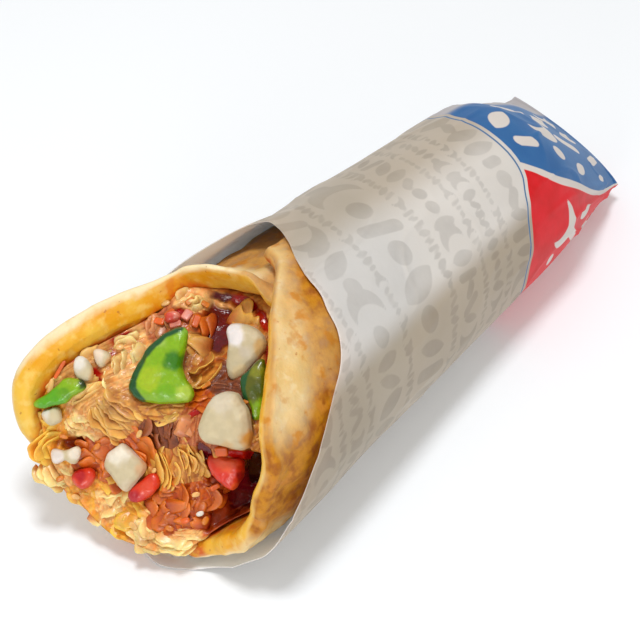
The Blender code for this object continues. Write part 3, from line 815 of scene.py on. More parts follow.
def build_bread():
    angles = np.linspace(INNER_END, OUTER_END, BREAD_COLUMNS)
    x, level, rim = (np.array(rows) for rows in zip(*map(bread_profile, angles)))
    from_rim = x - rim[:, None]
    angle = np.broadcast_to(angles[:, None], x.shape)
    to_end = np.minimum(angle - INNER_END, OUTER_END - angle)
    ends = np.sqrt(1.0 - np.clip(1.0 - to_end / END_ROUND, 0.0, END_SHARPEST)**2)
    half = 0.5 * BREAD_THICK * ends
    middle = bread_depth(angle) + 0.5 * BREAD_THICK
    base = place(x, angle, middle - level * half, bread_rise(x, angle))
    relief = bread_relief(base + FACES_APART * (level < 0.0)[..., None])
    seam = smooth(INNER_END + SEAM_SMOOTH[0], INNER_END + SEAM_SMOOTH[1], angle)
    relief = relief * (1.0 - SEAM_SHARE * seam) * ends
    proud = np.where(level > 0.0, hood_relief(relief, angle, from_rim), INNER_RELIEF * relief)
    points = place(x, angle, middle - level * (half + proud), bread_rise(x, angle))
    faces = ring_quads(*x.shape)
    size = x.shape[1]
    for start in (0, x.size - size):
        for index in range(size // 2 - 1):
            last = start + size - 1 - index
            faces.append((start + index, start + index + 1, last - 1, last))
    turning = through(TURNING_IN, angle)
    inside = smooth(turning + TURNING_SOFT, turning - TURNING_SOFT,
                    level + layered(base, TURNING_WAVES))
    new_piece("flatbread_baked", points, faces, bread_material(), "bread", "flatbread",
              inside=inside, toast=bread_toast(angle, from_rim) * (1.0 - inside),
              rim=window(PALE_TURNS, angle) * smooth(*PALE_ALONG, from_rim) * (1.0 - inside),
              stain=bread_stain_and_shade(x, angle, from_rim) * inside)


def bread_toast(angle, from_rim):
    """How browned the bread's outer face is, by toast and by painted shade: most low on the flap,
    where the shade is painted, least on the hood.
    """
    flap = smooth(*FLAP_RISING, angle)
    low = flap * smooth(*LOW_SHADE_FALLING, angle)
    away = flap * smooth(*AWAY_ALONG, from_rim + AWAY_NEARER * smooth(*AWAY_RISING, angle))
    edge = flap * smooth(*EDGE_ALONG, from_rim)
    top = smooth(*TOP_RISING, angle) * smooth(*TOP_ALONG, from_rim)
    trough_shade = window(TROUGH_TURNS, angle) * smooth(*TROUGH_SHADE_ALONG, from_rim)
    end = smooth(*END_FALLING, angle)
    parts = (flap, low, away, edge, top, trough_shade, end)
    return np.clip(sum(share * part for share, part in zip(TOAST_AND_SHADE_SHARES, parts)), 0.0, 1.0)


def bread_stain_and_shade(x, angle, from_rim):
    """How much sauce the inner wall has taken up, growing towards the filling, and where shade
    is painted in the hollow low inside the flap.
    """
    to_front = x - through(FILLING_EDGE, angle % 360.0)
    hollow_shade = SHADED_HOLLOW_SHARE * window(SHADED_HOLLOW_TURNS, angle) * smooth(*SHADED_HOLLOW_ALONG, from_rim)
    return np.maximum(smooth(*STAIN_ALONG, to_front), hollow_shade)


def bread_material():
    look = Shading("baked_flatbread", 0.5, Specular_IOR_Level=0.3, Subsurface_Weight=0.15,
                   Subsurface_Radius=(0.004, 0.002, 0.001), Subsurface_Scale=0.6)
    broad = look.noise(15.0, 3.0)
    fine = look.noise(3.2, 4.0)
    patches = look.step(look.noise(5.5, 3.0), 0.55, 0.66)
    outer = look.mix(look.step(broad, 0.30, 0.70), rgb(234, 208, 156), rgb(222, 186, 118))
    outer = look.mix(look.times(look.step(fine, 0.52, 0.72), 0.5), outer, rgb(238, 220, 176))
    toast = look.value("toast")
    # Browned colour for toast, and painted shade low on the flap and in the trough
    toast_and_shade_colour = look.mix(look.step(fine, 0.35, 0.7), rgb(196, 130, 10), rgb(156, 86, 0))
    outer = look.mix(look.times(toast, look.step(broad, 0.05, 0.40)), outer, toast_and_shade_colour)
    outer = look.mix(look.times(patches, look.step(toast, 0.0, 0.6, 0.45, 0.9)), outer,
                     rgb(198, 128, 36))
    inner = look.mix(look.step(broad, 0.32, 0.66), rgb(232, 186, 66), rgb(224, 154, 12))
    inner = look.mix(look.times(look.step(fine, 0.46, 0.72), 0.55), inner, rgb(238, 206, 116))
    # The stain's colour also carries the painted shade in the hollow inside the flap
    stain = look.times(look.value("stain"), look.step(look.noise(5.0, 3.0), 0.30, 0.60))
    inner = look.mix(stain, inner, look.mix(fine, rgb(214, 110, 22), rgb(190, 54, 14)))
    # Pale rim: partly the bread's own paler edge, partly painted highlight where the rolled lip
    # catches the light
    rim = look.mix(look.times(patches, 0.5), rgb(238, 220, 178), rgb(230, 196, 124))
    colour = look.mix(look.value("inside"), outer, inner)
    colour = look.mix(look.value("rim"), colour, rim)
    specks = look.step(look.noise(1.9, 2.0), 0.70, 0.76, 0.0, 0.6)
    look.base(look.mix(specks, colour, rgb(170, 96, 30)))
    look.rough(look.step(look.value("inside"), 0.0, 1.0, 0.55, 0.40))
    look.bump(look.noise(1.1, 5.0), 0.16)
    return look.material


# The photo's frame, in which the filling's pieces are laid out


def view_axes():
    """Directions to the right of the camera, up and back from it."""
    azimuth, elevation = math.radians(VIEW_AZIMUTH), math.radians(VIEW_ELEVATION)
    right = np.array([math.cos(azimuth), math.sin(azimuth), 0.0])
    back = np.array([math.sin(azimuth) * math.cos(elevation),
                     -math.cos(azimuth) * math.cos(elevation), math.sin(elevation)])
    return right, np.cross(back, right), back


def seen_at(points):
    """Where points show in the photo, in pixels from its top left corner."""
    right, up, back = view_axes()
    offset = points - (VIEW_TARGET + back * VIEW_DISTANCE)
    scale = FOCAL / -(offset @ back)
    return np.stack([0.5 * PICTURE + scale * (offset @ right),
                     0.5 * PICTURE - scale * (offset @ up)], axis=-1)


def plain_front():
    """The filling's even front, and a little beyond its edge, to lay pieces on."""
    angles = np.linspace(0.0, 360.0, FRONT_COLUMNS, endpoint=False)
    points = face_point(angles, np.linspace(*FRONT_SHARES, FRONT_RINGS)[:, None])
    faces = ring_quads(FRONT_RINGS, FRONT_COLUMNS) + [tuple(range(FRONT_COLUMNS))]
    return BVHTree.FromPolygons([tuple(point) for point in points.reshape(-1, 3)], faces)


def on_front(front, pixels):
    """Points of the front, and its mean outward direction, at pixels of the photo.

    Where a line of pixels leaves the front, its last point there is repeated.
    """
    right, up, back = view_axes()
    eye = Vector(VIEW_TARGET + back * VIEW_DISTANCE)
    points, normals = [], []
    for x, y in pixels:
        ray = right * (x - 0.5 * PICTURE) + up * (0.5 * PICTURE - y) - back * FOCAL
        hit, normal, _, _ = front.ray_cast(eye, Vector(ray).normalized())
        if hit is not None:
            points.append(hit)
            normals.append(normal * math.copysign(1.0, normal.dot(FACE_NORMAL)))
        elif points:
            points.append(points[-1])
            normals.append(normals[-1])
    return np.array(points), unit(np.mean(normals, axis=0))


# The chicken: a core, and thin shavings laid out on it as the photo shows them

FRONT_COLUMNS = 120
FRONT_RINGS = 50
FRONT_SHARES = (0.02, 1.13)

# Rows of overlapping shavings: the paths of the first and the last one by the photo's
# pixels, how many, their width, tilt at the root and at the free edge, the side of the
# path that they lean to (1 left, -1 right), colour
FANS = [
    (((109, 384), (111, 368), (117, 352)), ((142, 364), (143, 352), (147, 341)),
     5, 4.0, 50, 30, 1, "cream"),
    (((111, 350), (126, 344), (142, 341)), ((112, 345), (126, 339), (141, 336)),
     2, 3.5, 60, 30, 1, "cream"),
    (((70, 410), (86, 400), (106, 386)), ((64, 399), (78, 389), (99, 374)),
     6, 3.8, 50, 38, 1, "pale"),
    (((106, 383), (119, 402), (148, 419)), ((90, 404), (102, 426), (126, 449)),
     11, 3.4, 54, 40, -1, "tan"),
    (((66, 412), (83, 416), (94, 436)), ((60, 424), (71, 426), (80, 438)),
     6, 3.0, 52, 36, -1, "cream"),
    (((74, 452), (86, 448), (99, 455)), ((78, 470), (88, 466), (100, 468)),
     3, 5.0, 30, 10, 1, "orange"),
    (((66, 434), (47, 445), (57, 463)), ((58, 427), (35, 443), (48, 470)),
     5, 3.4, 54, 32, -1, "yellow"),
    (((44, 464), (56, 472), (70, 484)), ((32, 468), (46, 481), (64, 494)),
     5, 3.2, 54, 32, -1, "cream"),
    (((86, 512), (92, 502), (101, 496)), ((73, 508), (79, 498), (92, 489)),
     3, 4.0, 40, 10, 1, "yellow"),
    (((92, 495), (108, 497), (126, 491)), ((88, 511), (108, 512), (128, 505)),
     4, 3.2, 50, 25, -1, "cream"),
    (((96, 478), (107, 474), (120, 480)), ((98, 491), (108, 488), (120, 492)),
     4, 3.0, 45, 25, -1, "yellow"),
    (((122, 508), (128, 516), (142, 518)), ((112, 518), (119, 533), (137, 537)),
     4, 4.4, 40, 10, -1, "yellow"),
    (((142, 510), (146, 526), (152, 538)), ((133, 522), (137, 542), (150, 552)),
     5, 3.8, 52, 30, -1, "cream"),
    (((150, 534), (170, 540), (196, 537)), ((150, 548), (172, 553), (200, 548)),
     5, 3.4, 52, 32, -1, "cream"),
    (((150, 498), (154, 508), (158, 516)), ((196, 498), (198, 507), (197, 515)),
     5, 5.6, 34, 6, 1, "orange"),
    (((144, 512), (150, 522), (158, 530)), ((200, 514), (200, 522), (196, 532)),
     5, 5.8, 32, 6, -1, "orange"),
    (((180, 482), (184, 496), (181, 512)), ((204, 487), (212, 498), (205, 516)),
     5, 3.4, 48, 25, 1, "orange"),
    (((143, 452), (151, 468), (150, 488)), ((158, 447), (174, 472), (164, 497)),
     5, 4.0, 50, 28, 1, "curled"),
    (((172, 449), (180, 460), (178, 478)), ((196, 452), (206, 468), (203, 484)),
     8, 3.0, 50, 34, 1, "tan"),
    (((207, 484), (218, 489), (231, 494)), ((205, 492), (217, 499), (229, 503)),
     2, 4.0, 20, 5, -1, "orange"),
    (((146, 416), (148, 428), (152, 442)), ((181, 415), (180, 428), (177, 443)),
     6, 3.4, 50, 35, 1, "brown"),
    (((184, 441), (187, 428), (190, 414)), ((194, 441), (196, 428), (199, 415)),
     2, 4.0, 35, 15, 1, "pink"),
    (((148, 404), (166, 408), (186, 403)), ((148, 411), (166, 418), (184, 412)),
     4, 3.4, 48, 30, -1, "tan"),
    (((198, 381), (218, 379), (240, 381)), ((196, 390), (216, 389), (240, 391)),
     3, 3.6, 30, 8, -1, "brown"),
    (((192, 396), (204, 397), (217, 394)), ((190, 408), (201, 408), (209, 404)),
     3, 3.0, 40, 20, -1, "orange"),
    (((187, 374), (200, 366), (213, 352)), ((188, 385), (209, 378), (227, 352)),
     2, 6.0, 12, 75, -1, "curled"),
    (((184, 362), (189, 346), (191, 330)), ((200, 357), (204, 343), (206, 331)),
     3, 4.6, 35, 10, 1, "tan"),
    (((189, 338), (195, 324), (199, 311)), ((207, 335), (211, 322), (210, 311)),
     4, 3.6, 45, 20, 1, "orange"),
    (((182, 304), (190, 299), (198, 296)), ((190, 313), (202, 307), (208, 299)),
     6, 3.6, 55, 40, 1, "cream"),
    (((146, 336), (151, 322), (158, 311)), ((170, 330), (173, 320), (177, 311)),
     6, 3.2, 50, 30, 1, "pink"),
    (((228, 317), (240, 322), (256, 329)), ((228, 304), (245, 314), (263, 331)),
     3, 4.4, 30, 10, 1, "tan"),
    (((249, 443), (254, 434), (260, 425)), ((256, 444), (260, 435), (264, 427)),
     2, 3.6, 40, 20, 1, "tan"),
    (((134, 440), (147, 453), (152, 472)), ((127, 449), (139, 458), (146, 468)),
     3, 4.4, 35, 12, 1, "orange"),
    (((40, 432), (54, 425), (68, 412)), ((36, 428), (50, 418), (62, 408)),
     2, 3.6, 40, 20, 1, "yellow"),
    (((96, 440), (104, 452), (104, 470)), ((100, 470), (112, 484), (124, 494)),
     3, 4.0, 40, 15, -1, "orange"),
    (((84, 366), (92, 356), (102, 350)), ((92, 368), (100, 360), (108, 354)),
     3, 4.0, 35, 10, 1, "pale"),
    (((160, 476), (168, 484), (176, 496)), ((150, 484), (156, 494), (166, 504)),
     3, 3.6, 40, 20, -1, "orange"),
]

# Sauce that lies open, and one deep hollow painted near black as shade: place by the photo's
# pixels, half its length and width, turn, how far it lies sunk, colour
POOLS = [
    ((214, 330), 26, 16, 80, 1.4, "maroon"),
    ((222, 297), 13, 5, -8, 1.6, "maroon"),
    ((243, 303), 15, 8, -24, 1.6, "red"),
    ((261, 320), 13, 6, -58, 1.5, "red"),
    ((268, 364), 30, 4, 90, 1.5, "red"),
    ((203, 452), 12, 6, -60, 1.0, "maroon"),
    ((209, 470), 15, 8, -60, 1.4, "red"),
    # The deepest pool is painted shade: near black for its hollow
    ((249, 470), 18, 10, 80, 6.0, "dark"),
    ((242, 488), 30, 17, 62, 5.0, "maroon"),
    ((224, 514), 22, 12, 35, 3.2, "brown"),
    ((152, 504), 9, 6, 0, 1.0, "maroon"),
    ((71, 443), 14, 7, 0, 2.2, "brown"),
    ((120, 338), 15, 4, 25, 1.2, "red"),
    ((112, 352), 6, 4, 0, 1.0, "red"),
    ((236, 455), 18, 5, -10, 0.8, "red"),
    ((196, 412), 10, 4, 30, 0.8, "red"),
    ((89, 373), 9, 4, -60, 1.0, "red"),
    ((80, 354), 13, 5, 28, 1.0, "red"),
    ((97, 374), 9, 4, -70, 0.8, "red"),
    ((178, 312), 7, 4, 0, 0.8, "red"),
    ((160, 328), 5, 4, 0, 0.8, "red"),
]

# Each colour of meat: at its free edge, and deep at its root. The deep root is partly painted
# shade in the crevices between shavings, the pale edge partly painted highlight
MEAT = {
    "tan": (rgb(240, 180, 84), rgb(154, 60, 4)),
    "cream": (rgb(254, 224, 146), rgb(216, 116, 24)),
    "pale": (rgb(248, 198, 114), rgb(192, 106, 26)),
    "yellow": (rgb(252, 198, 70), rgb(218, 114, 0)),
    "orange": (rgb(220, 112, 16), rgb(146, 30, 0)),
    "curled": (rgb(240, 182, 78), rgb(174, 54, 0)),
    "pink": (rgb(222, 144, 84), rgb(150, 48, 8)),
    "brown": (rgb(164, 88, 44), rgb(80, 22, 4)),
}
POOL_COLOURS = {
    "maroon": rgb(96, 4, 16),
    "red": rgb(172, 14, 8),
    "brown": rgb(150, 48, 8),
    # Painted shade: near black for the deep hollow by the flap
    "dark": rgb(34, 4, 6),
}

# The middle of each fan by the photo's pixels, and the way that its shavings run
FAN_PATHS = np.array([fan[:2] for fan in FANS], float)
FAN_CENTRES = FAN_PATHS.mean(axis=(1, 2))
FAN_HEADINGS = unit((FAN_PATHS[:, :, 2] - FAN_PATHS[:, :, 0]).sum(axis=1))
# Noise that makes the borders between fans ragged, and the edges of the pools
BORDER_REACH = 5.0
BORDER_SIZE = 14.0
BORDER_SEEDS = (71, 72)
POOL_WAVES = 0.28
POOL_SIZE = 6.0
POOL_SEED = 73
POOL_EDGE = (1.25, 0.75)

# One shaving: its torn edge, folds and grain, each as height, size and seed of noise, how
# far apart the noise of two shavings lies, and how its thickness and height grow less
SHAVING_STATIONS = 26
SHAVING_STEPS = 8
SHAVING_THICK = 0.8
TORN = ((0.34, 4.2, 46), (0.16, 1.6, 47))
FOLDS = ((0.9, 6.5, 44), (0.2, 2.4, 45))
GRAIN = ((0.40, 7.0, 40), (0.08, 2.4, 41))
NOISE_APART = 9.0
ENDS_LOWER = 0.55
ENDS_THINNER = 0.9
EVENLY_THINNER = 0.4
EDGE_THINNER = 0.85
LEAST_BEND = 0.05
RUFFLE = 0.5
RUFFLE_WAVES = 1.1
ROOT_DEPTH = 2.0
ENDS_DEEPER = 0.8

# Its colour: how far its shade differs, how the stains lie, and how they darken it
SHADE_APART = 0.12
SHADES = ((0.16, 8.0, 48),)
# How fast the colour goes from the painted shade of the root to the pale free edge
PALE_POWER = 0.9
STAIN_SIZE = 3.6
STAIN_SEED = 43
STAIN_SPREAD = 0.1
STAIN_FADING = 0.6
STAIN_STRENGTH = 0.8

# How the shavings of a fan differ: their width as shares, their tilts in degrees, their
# knots in pixels, and how much shorter they are than the knots
WIDER = 1.12
WIDTH_APART = 0.28
ROOT_TILT_LESS = 4.0
ROOT_TILT_APART = 12.0
EDGE_TILT_APART = 14.0
KNOTS_APART = 1.4
SHORTER = 0.14

# Small shavings between the fans, with the ranges of their turn, half length, bow, width
# and tilts, and how near they may come to a pool
FILLERS = 150
FILLER_STATIONS = 12
FILLER_STEPS = 6
FILLER_REACH = 0.98
FILLER_TURNS = (-25.0, 25.0)
FILLER_HALVES = (9.0, 18.0)
FILLER_BOWS = (-4.0, 4.0)
FILLER_WIDTHS = (2.6, 4.4)
FILLER_ROOT_TILTS = (36.0, 58.0)
FILLER_EDGE_TILTS = (14.0, 36.0)
FILLER_SUNK = 0.3
GOLDEN_SHARE = 0.618034
POOL_NEAR = 0.3
POOL_ROOM = np.array([(0.0, 0.0), (10.0, 0.0), (-10.0, 0.0), (0.0, 10.0), (0.0, -10.0)])


def bent_path(knots, stations):
    """A curve through three knots."""
    first, middle, last = np.array(knots, float)
    control = 2.0 * middle - 0.5 * (first + last)
    t = np.linspace(0.0, 1.0, stations)[:, None]
    return (1.0 - t)**2 * first + 2.0 * t * (1.0 - t) * control + t**2 * last


def shaving(path, out_way, width, tilts, lean, draw, steps):
    """Rings of points of one thin sheet that stands along a path, rooted in the core."""
    u = np.linspace(-1.0, 1.0, len(path))[:, None]
    v = np.concatenate([np.linspace(0.0, 1.0, steps), np.linspace(1.0, 0.0, steps)])
    face = np.repeat([1.0, -1.0], steps)
    phase = draw.uniform(-math.pi, math.pi, 3)
    apart = NOISE_APART * phase
    reach = width * (1.0 - ENDS_LOWER * u**4) * (1.0 + layered(path + apart, TORN)[:, None])
    half = (0.5 * SHAVING_THICK * (1.0 - EVENLY_THINNER * v)
            * np.sqrt(1.0 - ENDS_THINNER * np.abs(u)**5) * np.sqrt(1.0 - EDGE_THINNER * v**8) * face)
    start, end = np.radians(tilts)
    bend = start - end if abs(start - end) > LEAST_BEND else LEAST_BEND
    heading = start - bend * v
    side = reach * (np.sin(start) - np.sin(heading)) / bend - np.sin(heading) * half
    out = reach * (np.cos(heading) - np.cos(start)) / bend + np.cos(heading) * half
    ruffle = RUFFLE * v * np.sin(RUFFLE_WAVES * math.pi * u + phase[2])
    root = ROOT_DEPTH + ENDS_DEEPER * u**4
    along = unit(np.gradient(path, axis=0))
    sideways = unit(lean * np.cross(out_way, along))[:, None]
    middle = 0.5 * width * np.cos(0.5 * (start + end))
    points = (path[:, None] + (side - middle + ruffle)[..., None] * sideways
              + (out - root)[..., None] * out_way)
    fold = v * layered(points + apart, FOLDS)
    grain = layered(points, GRAIN)
    points = points + fold[..., None] * sideways + grain[..., None] * out_way
    return points, np.broadcast_to(v, out.shape)


def meat_colours(look, points, depth, draw):
    """Colours from root to free edge, a little unlike its neighbours', with painted shade
    darkening the root and a painted highlight paling the free edge.
    """
    pale, deep = (np.array(colour) for colour in MEAT[look])
    shade = 1.0 + draw.uniform(-SHADE_APART, SHADE_APART) + layered(points, SHADES)
    share = depth**PALE_POWER
    stain = np.clip(noise(points, STAIN_SIZE, STAIN_SEED) + STAIN_SPREAD, 0.0, 1.0)
    share = share * (1.0 - STAIN_STRENGTH * stain * (1.0 - STAIN_FADING * share))
    return np.clip(blend(deep, pale, share[..., None]) * shade[..., None], 0.0, 1.0)


def fan_shavings(front, draw):
    """The shavings of every fan, each as its rings of points and their colours."""
    sheets = []
    for first, last, count, width, start, end, lean, look in FANS:
        for share in np.linspace(0.0, 1.0, count):
            uneven = draw.uniform(-1.0, 1.0, 6)
            knots = blend(np.array(first, float), np.array(last, float), share)
            knots = knots + KNOTS_APART * draw.uniform(-1.0, 1.0, (3, 2))
            knots[0] += SHORTER * (1.0 + uneven[3]) * (knots[1] - knots[0])
            knots[2] += SHORTER * (1.0 + uneven[4]) * (knots[1] - knots[2])
            path, out_way = on_front(front, bent_path(knots, SHAVING_STATIONS))
            tilts = (start - ROOT_TILT_LESS + ROOT_TILT_APART * uneven[1],
                     end + EDGE_TILT_APART * uneven[2])
            points, depth = shaving(path, out_way, width * (WIDER + WIDTH_APART * uneven[0]),
                                    tilts, lean, draw, SHAVING_STEPS)
            sheets.append((points, meat_colours(look, points, depth, draw)))
    return sheets


def flat_noise(pixels, size, seed):
    """Noise over the photo's frame."""
    return noise(np.concatenate([pixels, 0.0 * pixels[..., :1]], axis=-1), size, seed)


def nearest_fan(pixels):
    """The number of the fan nearest each pixel, with ragged borders between fans."""
    ragged = pixels + BORDER_REACH * np.stack([flat_noise(pixels, BORDER_SIZE, seed)
                                               for seed in BORDER_SEEDS], axis=-1)
    return np.argmin(np.linalg.norm(ragged[..., None, :] - FAN_CENTRES, axis=-1), axis=-1)


def pool_depth(pixels):
    """Share of pool colour and depth of its pool at pixels, and the pool's number. The pools are
    sauce, but for the darkest, which is painted shade.
    """
    share = np.zeros(pixels.shape[:-1])
    sunk = np.zeros(share.shape)
    which = np.zeros(share.shape, int)
    edge = POOL_WAVES * flat_noise(pixels, POOL_SIZE, POOL_SEED)
    for number, ((x, y), length, width, turn, depth, _) in enumerate(POOLS):
        along, aside = turned(pixels[..., 0] - x, pixels[..., 1] - y, math.radians(turn))
        here = smooth(*POOL_EDGE, np.hypot(along / length, aside / width) + edge)
        which = np.where(here > share, number, which)
        sunk = np.maximum(sunk, depth * here)
        share = np.maximum(share, here)
    return share, sunk, which


def filler_shavings(front, draw):
    """Small shavings between the fans, away from the open sauce."""
    sheets = []
    for index in range(FILLERS):
        angle = 360.0 * ((index * GOLDEN_SHARE) % 1.0)
        pixel = seen_at(face_point(angle, FILLER_REACH * math.sqrt((index + 0.5) / FILLERS)))
        if pool_depth(pixel + POOL_ROOM)[0].max() > POOL_NEAR:
            continue
        number = int(nearest_fan(pixel))
        lean, look = FANS[number][6:]
        turn = math.radians(draw.uniform(*FILLER_TURNS))
        heading = np.array(turned(*FAN_HEADINGS[number], turn))
        half = heading * draw.uniform(*FILLER_HALVES)
        bow = np.array([-heading[1], heading[0]]) * draw.uniform(*FILLER_BOWS)
        knots = (pixel - half, pixel + bow, pixel + half)
        path, out_way = on_front(front, bent_path(knots, FILLER_STATIONS))
        width = draw.uniform(*FILLER_WIDTHS)
        tilts = (draw.uniform(*FILLER_ROOT_TILTS), draw.uniform(*FILLER_EDGE_TILTS))
        points, depth = shaving(path, out_way, width, tilts, lean, draw, FILLER_STEPS)
        points = points - FILLER_SUNK * out_way
        sheets.append((points, meat_colours(look, points, depth, draw)))
    return sheets


# What keeps the meat behind the toppings, inside the bread and off the floor

OUTLINE_POINTS = 28
TOPPING_REACH = 16.0
FAR_OFF = 9.0
HIDING = (0.2, -0.9)
TUCKED_BEHIND = 0.4
CLEAR_GAP = 0.3
OUTSIDE_ROOM = 1.5
INTO_BREAD = (-3.0, 1.0)
FLOOR_ROOM = 0.7


def line_distance(right, up, starts, ends):
    """Distance from points to the nearest of some straight lines in a plane."""
    nearest = np.full(right.shape, np.inf)
    for (x1, y1), (x2, y2) in zip(starts, ends):
        along = np.clip(((right - x1) * (x2 - x1) + (up - y1) * (y2 - y1))
                        / ((x2 - x1)**2 + (y2 - y1)**2), 0.0, 1.0)
        nearest = np.minimum(nearest, np.hypot(right - x1 - along * (x2 - x1),
                                               up - y1 - along * (y2 - y1)))
    return nearest


def outline_distance(right, up, outline):
    """Distance from points to an outline in a plane, less than 0 inside it."""
    ends = outline[1:] + outline[:1]
    nearest = line_distance(right, up, outline, ends)
    inside = np.zeros(right.shape, bool)
    for (x1, y1), (x2, y2) in zip(outline, ends):
        if y1 != y2:
            crosses = (y1 > up) != (y2 > up)
            inside ^= crosses & (right < x1 + (up - y1) * (x2 - x1) / (y2 - y1))
    return np.where(inside, -nearest, nearest)


def kind(name):
    """What a piece is, by the first word of its name."""
    return name.split("_")[0]


def topping_views():
    """Each topping's middle, its outline as seen from the front, and its back."""
    views = []
    for name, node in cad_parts.items():
        if kind(name) in TOPPING_COLOURS:
            points = np.array([vertex.co for vertex in node.data.vertices]) / MM + SHIFT
            middle = 0.5 * (points.min(axis=0) + points.max(axis=0))
            local = (points - middle) @ FACE_TURN.T
            views.append((middle, star_outline(local[:, :2]), local[:, 2].min()))
    return views


def star_outline(points):
    """A star-shaped outline round points in a plane: the farthest one in each direction."""
    share = (np.arctan2(points[:, 1], points[:, 0]) + math.pi) / (2.0 * math.pi)
    index = np.floor(share * OUTLINE_POINTS).astype(int) % OUTLINE_POINTS
    outline = []
    for number in range(OUTLINE_POINTS):
        chosen = points[index == number]
        if len(chosen):
            outline.append(tuple(chosen[np.argmax(np.hypot(chosen[:, 0], chosen[:, 1]))]))
    return outline


def tuck_under(points, views):
    """Push points that lie in front of a topping down behind it."""
    points = points.copy()
    for middle, outline, back in views:
        local = (points - middle) @ FACE_TURN.T
        close = np.abs(local[..., :2]).max(axis=-1) < TOPPING_REACH
        distance = np.full(close.shape, FAR_OFF)
        distance[close] = outline_distance(local[..., 0][close], local[..., 1][close], outline)
        behind = blend(local[..., 2], back - TUCKED_BEHIND, smooth(*HIDING, distance))
        level = np.minimum(local[..., 2], behind)
        points += (level - local[..., 2])[..., None] * np.array(FACE_NORMAL)
    return points


def keep_clear(points):
    """Draw points in from the bread's inner wall, the paper and the floor."""
    x = points[..., 0]
    half_width, _, centre_y, centre_z, _ = section(x)
    y = points[..., 1] - centre_y
    z = points[..., 2] - centre_z
    angle = np.degrees(np.arctan2(z, -y)) % 360.0
    bread = bread_turn(angle)
    in_bread = smooth(*INTO_BREAD, x - through(BREAD_RIM, bread))
    limit = blend(-OUTSIDE_ROOM, filling_depth(angle, CLEAR_GAP), in_bread)
    most = half_width + bread_rise(x, bread) + flare(x, angle) - limit
    scale = np.minimum(1.0, most / np.maximum(np.hypot(y, z), 1.0))
    return np.stack([x, centre_y + y * scale, np.maximum(centre_z + z * scale, FLOOR_ROOM)], axis=-1)


# The core, whose ridges run along the shavings

CORE_COLUMNS = 320
CORE_RINGS = 120
CORE_SIDE_ROWS = 20
CORE_SUNK = 0.9
# Its lumps and the waves of its ridges, as height, size and seed of noise
CORE_LUMPS = ((0.8, 7.0, 51), (0.18, 2.6, 52))
RIDGE_WAVES = ((0.9, 7.0, 74), (0.4, 3.0, 75))
CORE_EDGE = (1.0, 0.93)
RIDGE_SPACING = 8.0
RIDGE_HEIGHT = 0.6
RIDGE_STRETCH = 0.35
RIDGE_BREAK = 0.86
FANS_APART = 7.0
SAUCE_COVER = 0.8
# The core's grooves take the deep colour and its crests the pale one: painted shade in the grooves,
# painted highlight on the crests
RIDGE_FOOT = 0.15
RIDGE_PALER = 0.6


def core_ridges(pixels, fans):
    """Height from 0 to 1 of layered ridges that run along each fan's shavings."""
    headings = FAN_HEADINGS[fans]
    offset = pixels - FAN_CENTRES[fans]
    along = (offset * headings).sum(axis=-1)
    across = offset[..., 1] * headings[..., 0] - offset[..., 0] * headings[..., 1]
    spot = np.stack([RIDGE_STRETCH * along, across, FANS_APART * fans], axis=-1)
    phase = across / RIDGE_SPACING + layered(spot, RIDGE_WAVES)
    saw = phase - np.floor(phase)
    return saw * smooth(1.0, RIDGE_BREAK, saw)


def build_core(views):
    """The core: its ridged front with open sauce and a hollow painted near black as shade, and its
    plain side wall.
    """
    angles = np.linspace(0.0, 360.0, CORE_COLUMNS, endpoint=False)
    share = np.linspace(0.0, 1.0, CORE_RINGS + 1)[1:, None]
    front = face_point(angles, share)
    pixels = seen_at(front)
    fans = nearest_fan(pixels)
    ridges = core_ridges(pixels, fans)
    pool_share, sunk, which = pool_depth(pixels)
    relief = layered(front, CORE_LUMPS) + RIDGE_HEIGHT * ridges * (1.0 - SAUCE_COVER * pool_share)
    relief = (relief - CORE_SUNK - sunk) * smooth(*CORE_EDGE, share)
    front = tuck_under(front + relief[..., None] * np.array(FACE_NORMAL), views)
    along = np.linspace(0.0, 1.0, CORE_SIDE_ROWS + 1)[1:, None]
    side_x = blend(through(FILLING_EDGE, angles), FILLING_END, along)
    side = filling_wall(side_x, np.broadcast_to(angles, side_x.shape))
    pale, deep = (np.array([MEAT[fan[7]][end] for fan in FANS])[fans] for end in (0, 1))
    # Painted shade in the grooves and painted highlight on the crests of the ridges
    tint = blend(deep, pale, (RIDGE_FOOT + RIDGE_PALER * ridges)[..., None])
    tint = blend(tint, np.array([POOL_COLOURS[pool[5]] for pool in POOLS])[which], pool_share[..., None])
    tint = np.concatenate([tint, np.broadcast_to(MEAT["orange"][1], side.shape)])
    wet = np.concatenate([pool_share, np.zeros(side_x.shape)])
    new_piece("chicken_core", np.concatenate([front, side]), tube_faces(*wet.shape),
              core_material(), "chicken", "chicken_filling", tint=tint, wet=wet)


def core_material():
    look = Shading("meat_in_sauce", 0.35, Subsurface_Weight=0.1,
                   Subsurface_Radius=(0.003, 0.001, 0.0006), Subsurface_Scale=0.5,
                   Specular_IOR_Level=0.3, Coat_Roughness=0.08)
    fine = look.step(look.noise(1.6, 3.0), 0.40, 0.65, 0.80, 1.08)
    look.base(look.scaled(look.colour("tint"), fine))
    wet = look.value("wet")
    look.rough(look.step(wet, 0.2, 0.8, 0.42, 0.16))
    look.put(look.shader.inputs["Coat Weight"], look.step(wet, 0.2, 0.8, 0.10, 0.30))
    look.bump(look.noise(1.8, 4.0), 0.35)
    return look.material


def build_shavings(front, views, material):
    draw = np.random.default_rng(11)
    join_sheets("chicken_shavings", fan_shavings(front, draw), views, material)
    join_sheets("chicken_small_shavings", filler_shavings(front, draw), views, material)


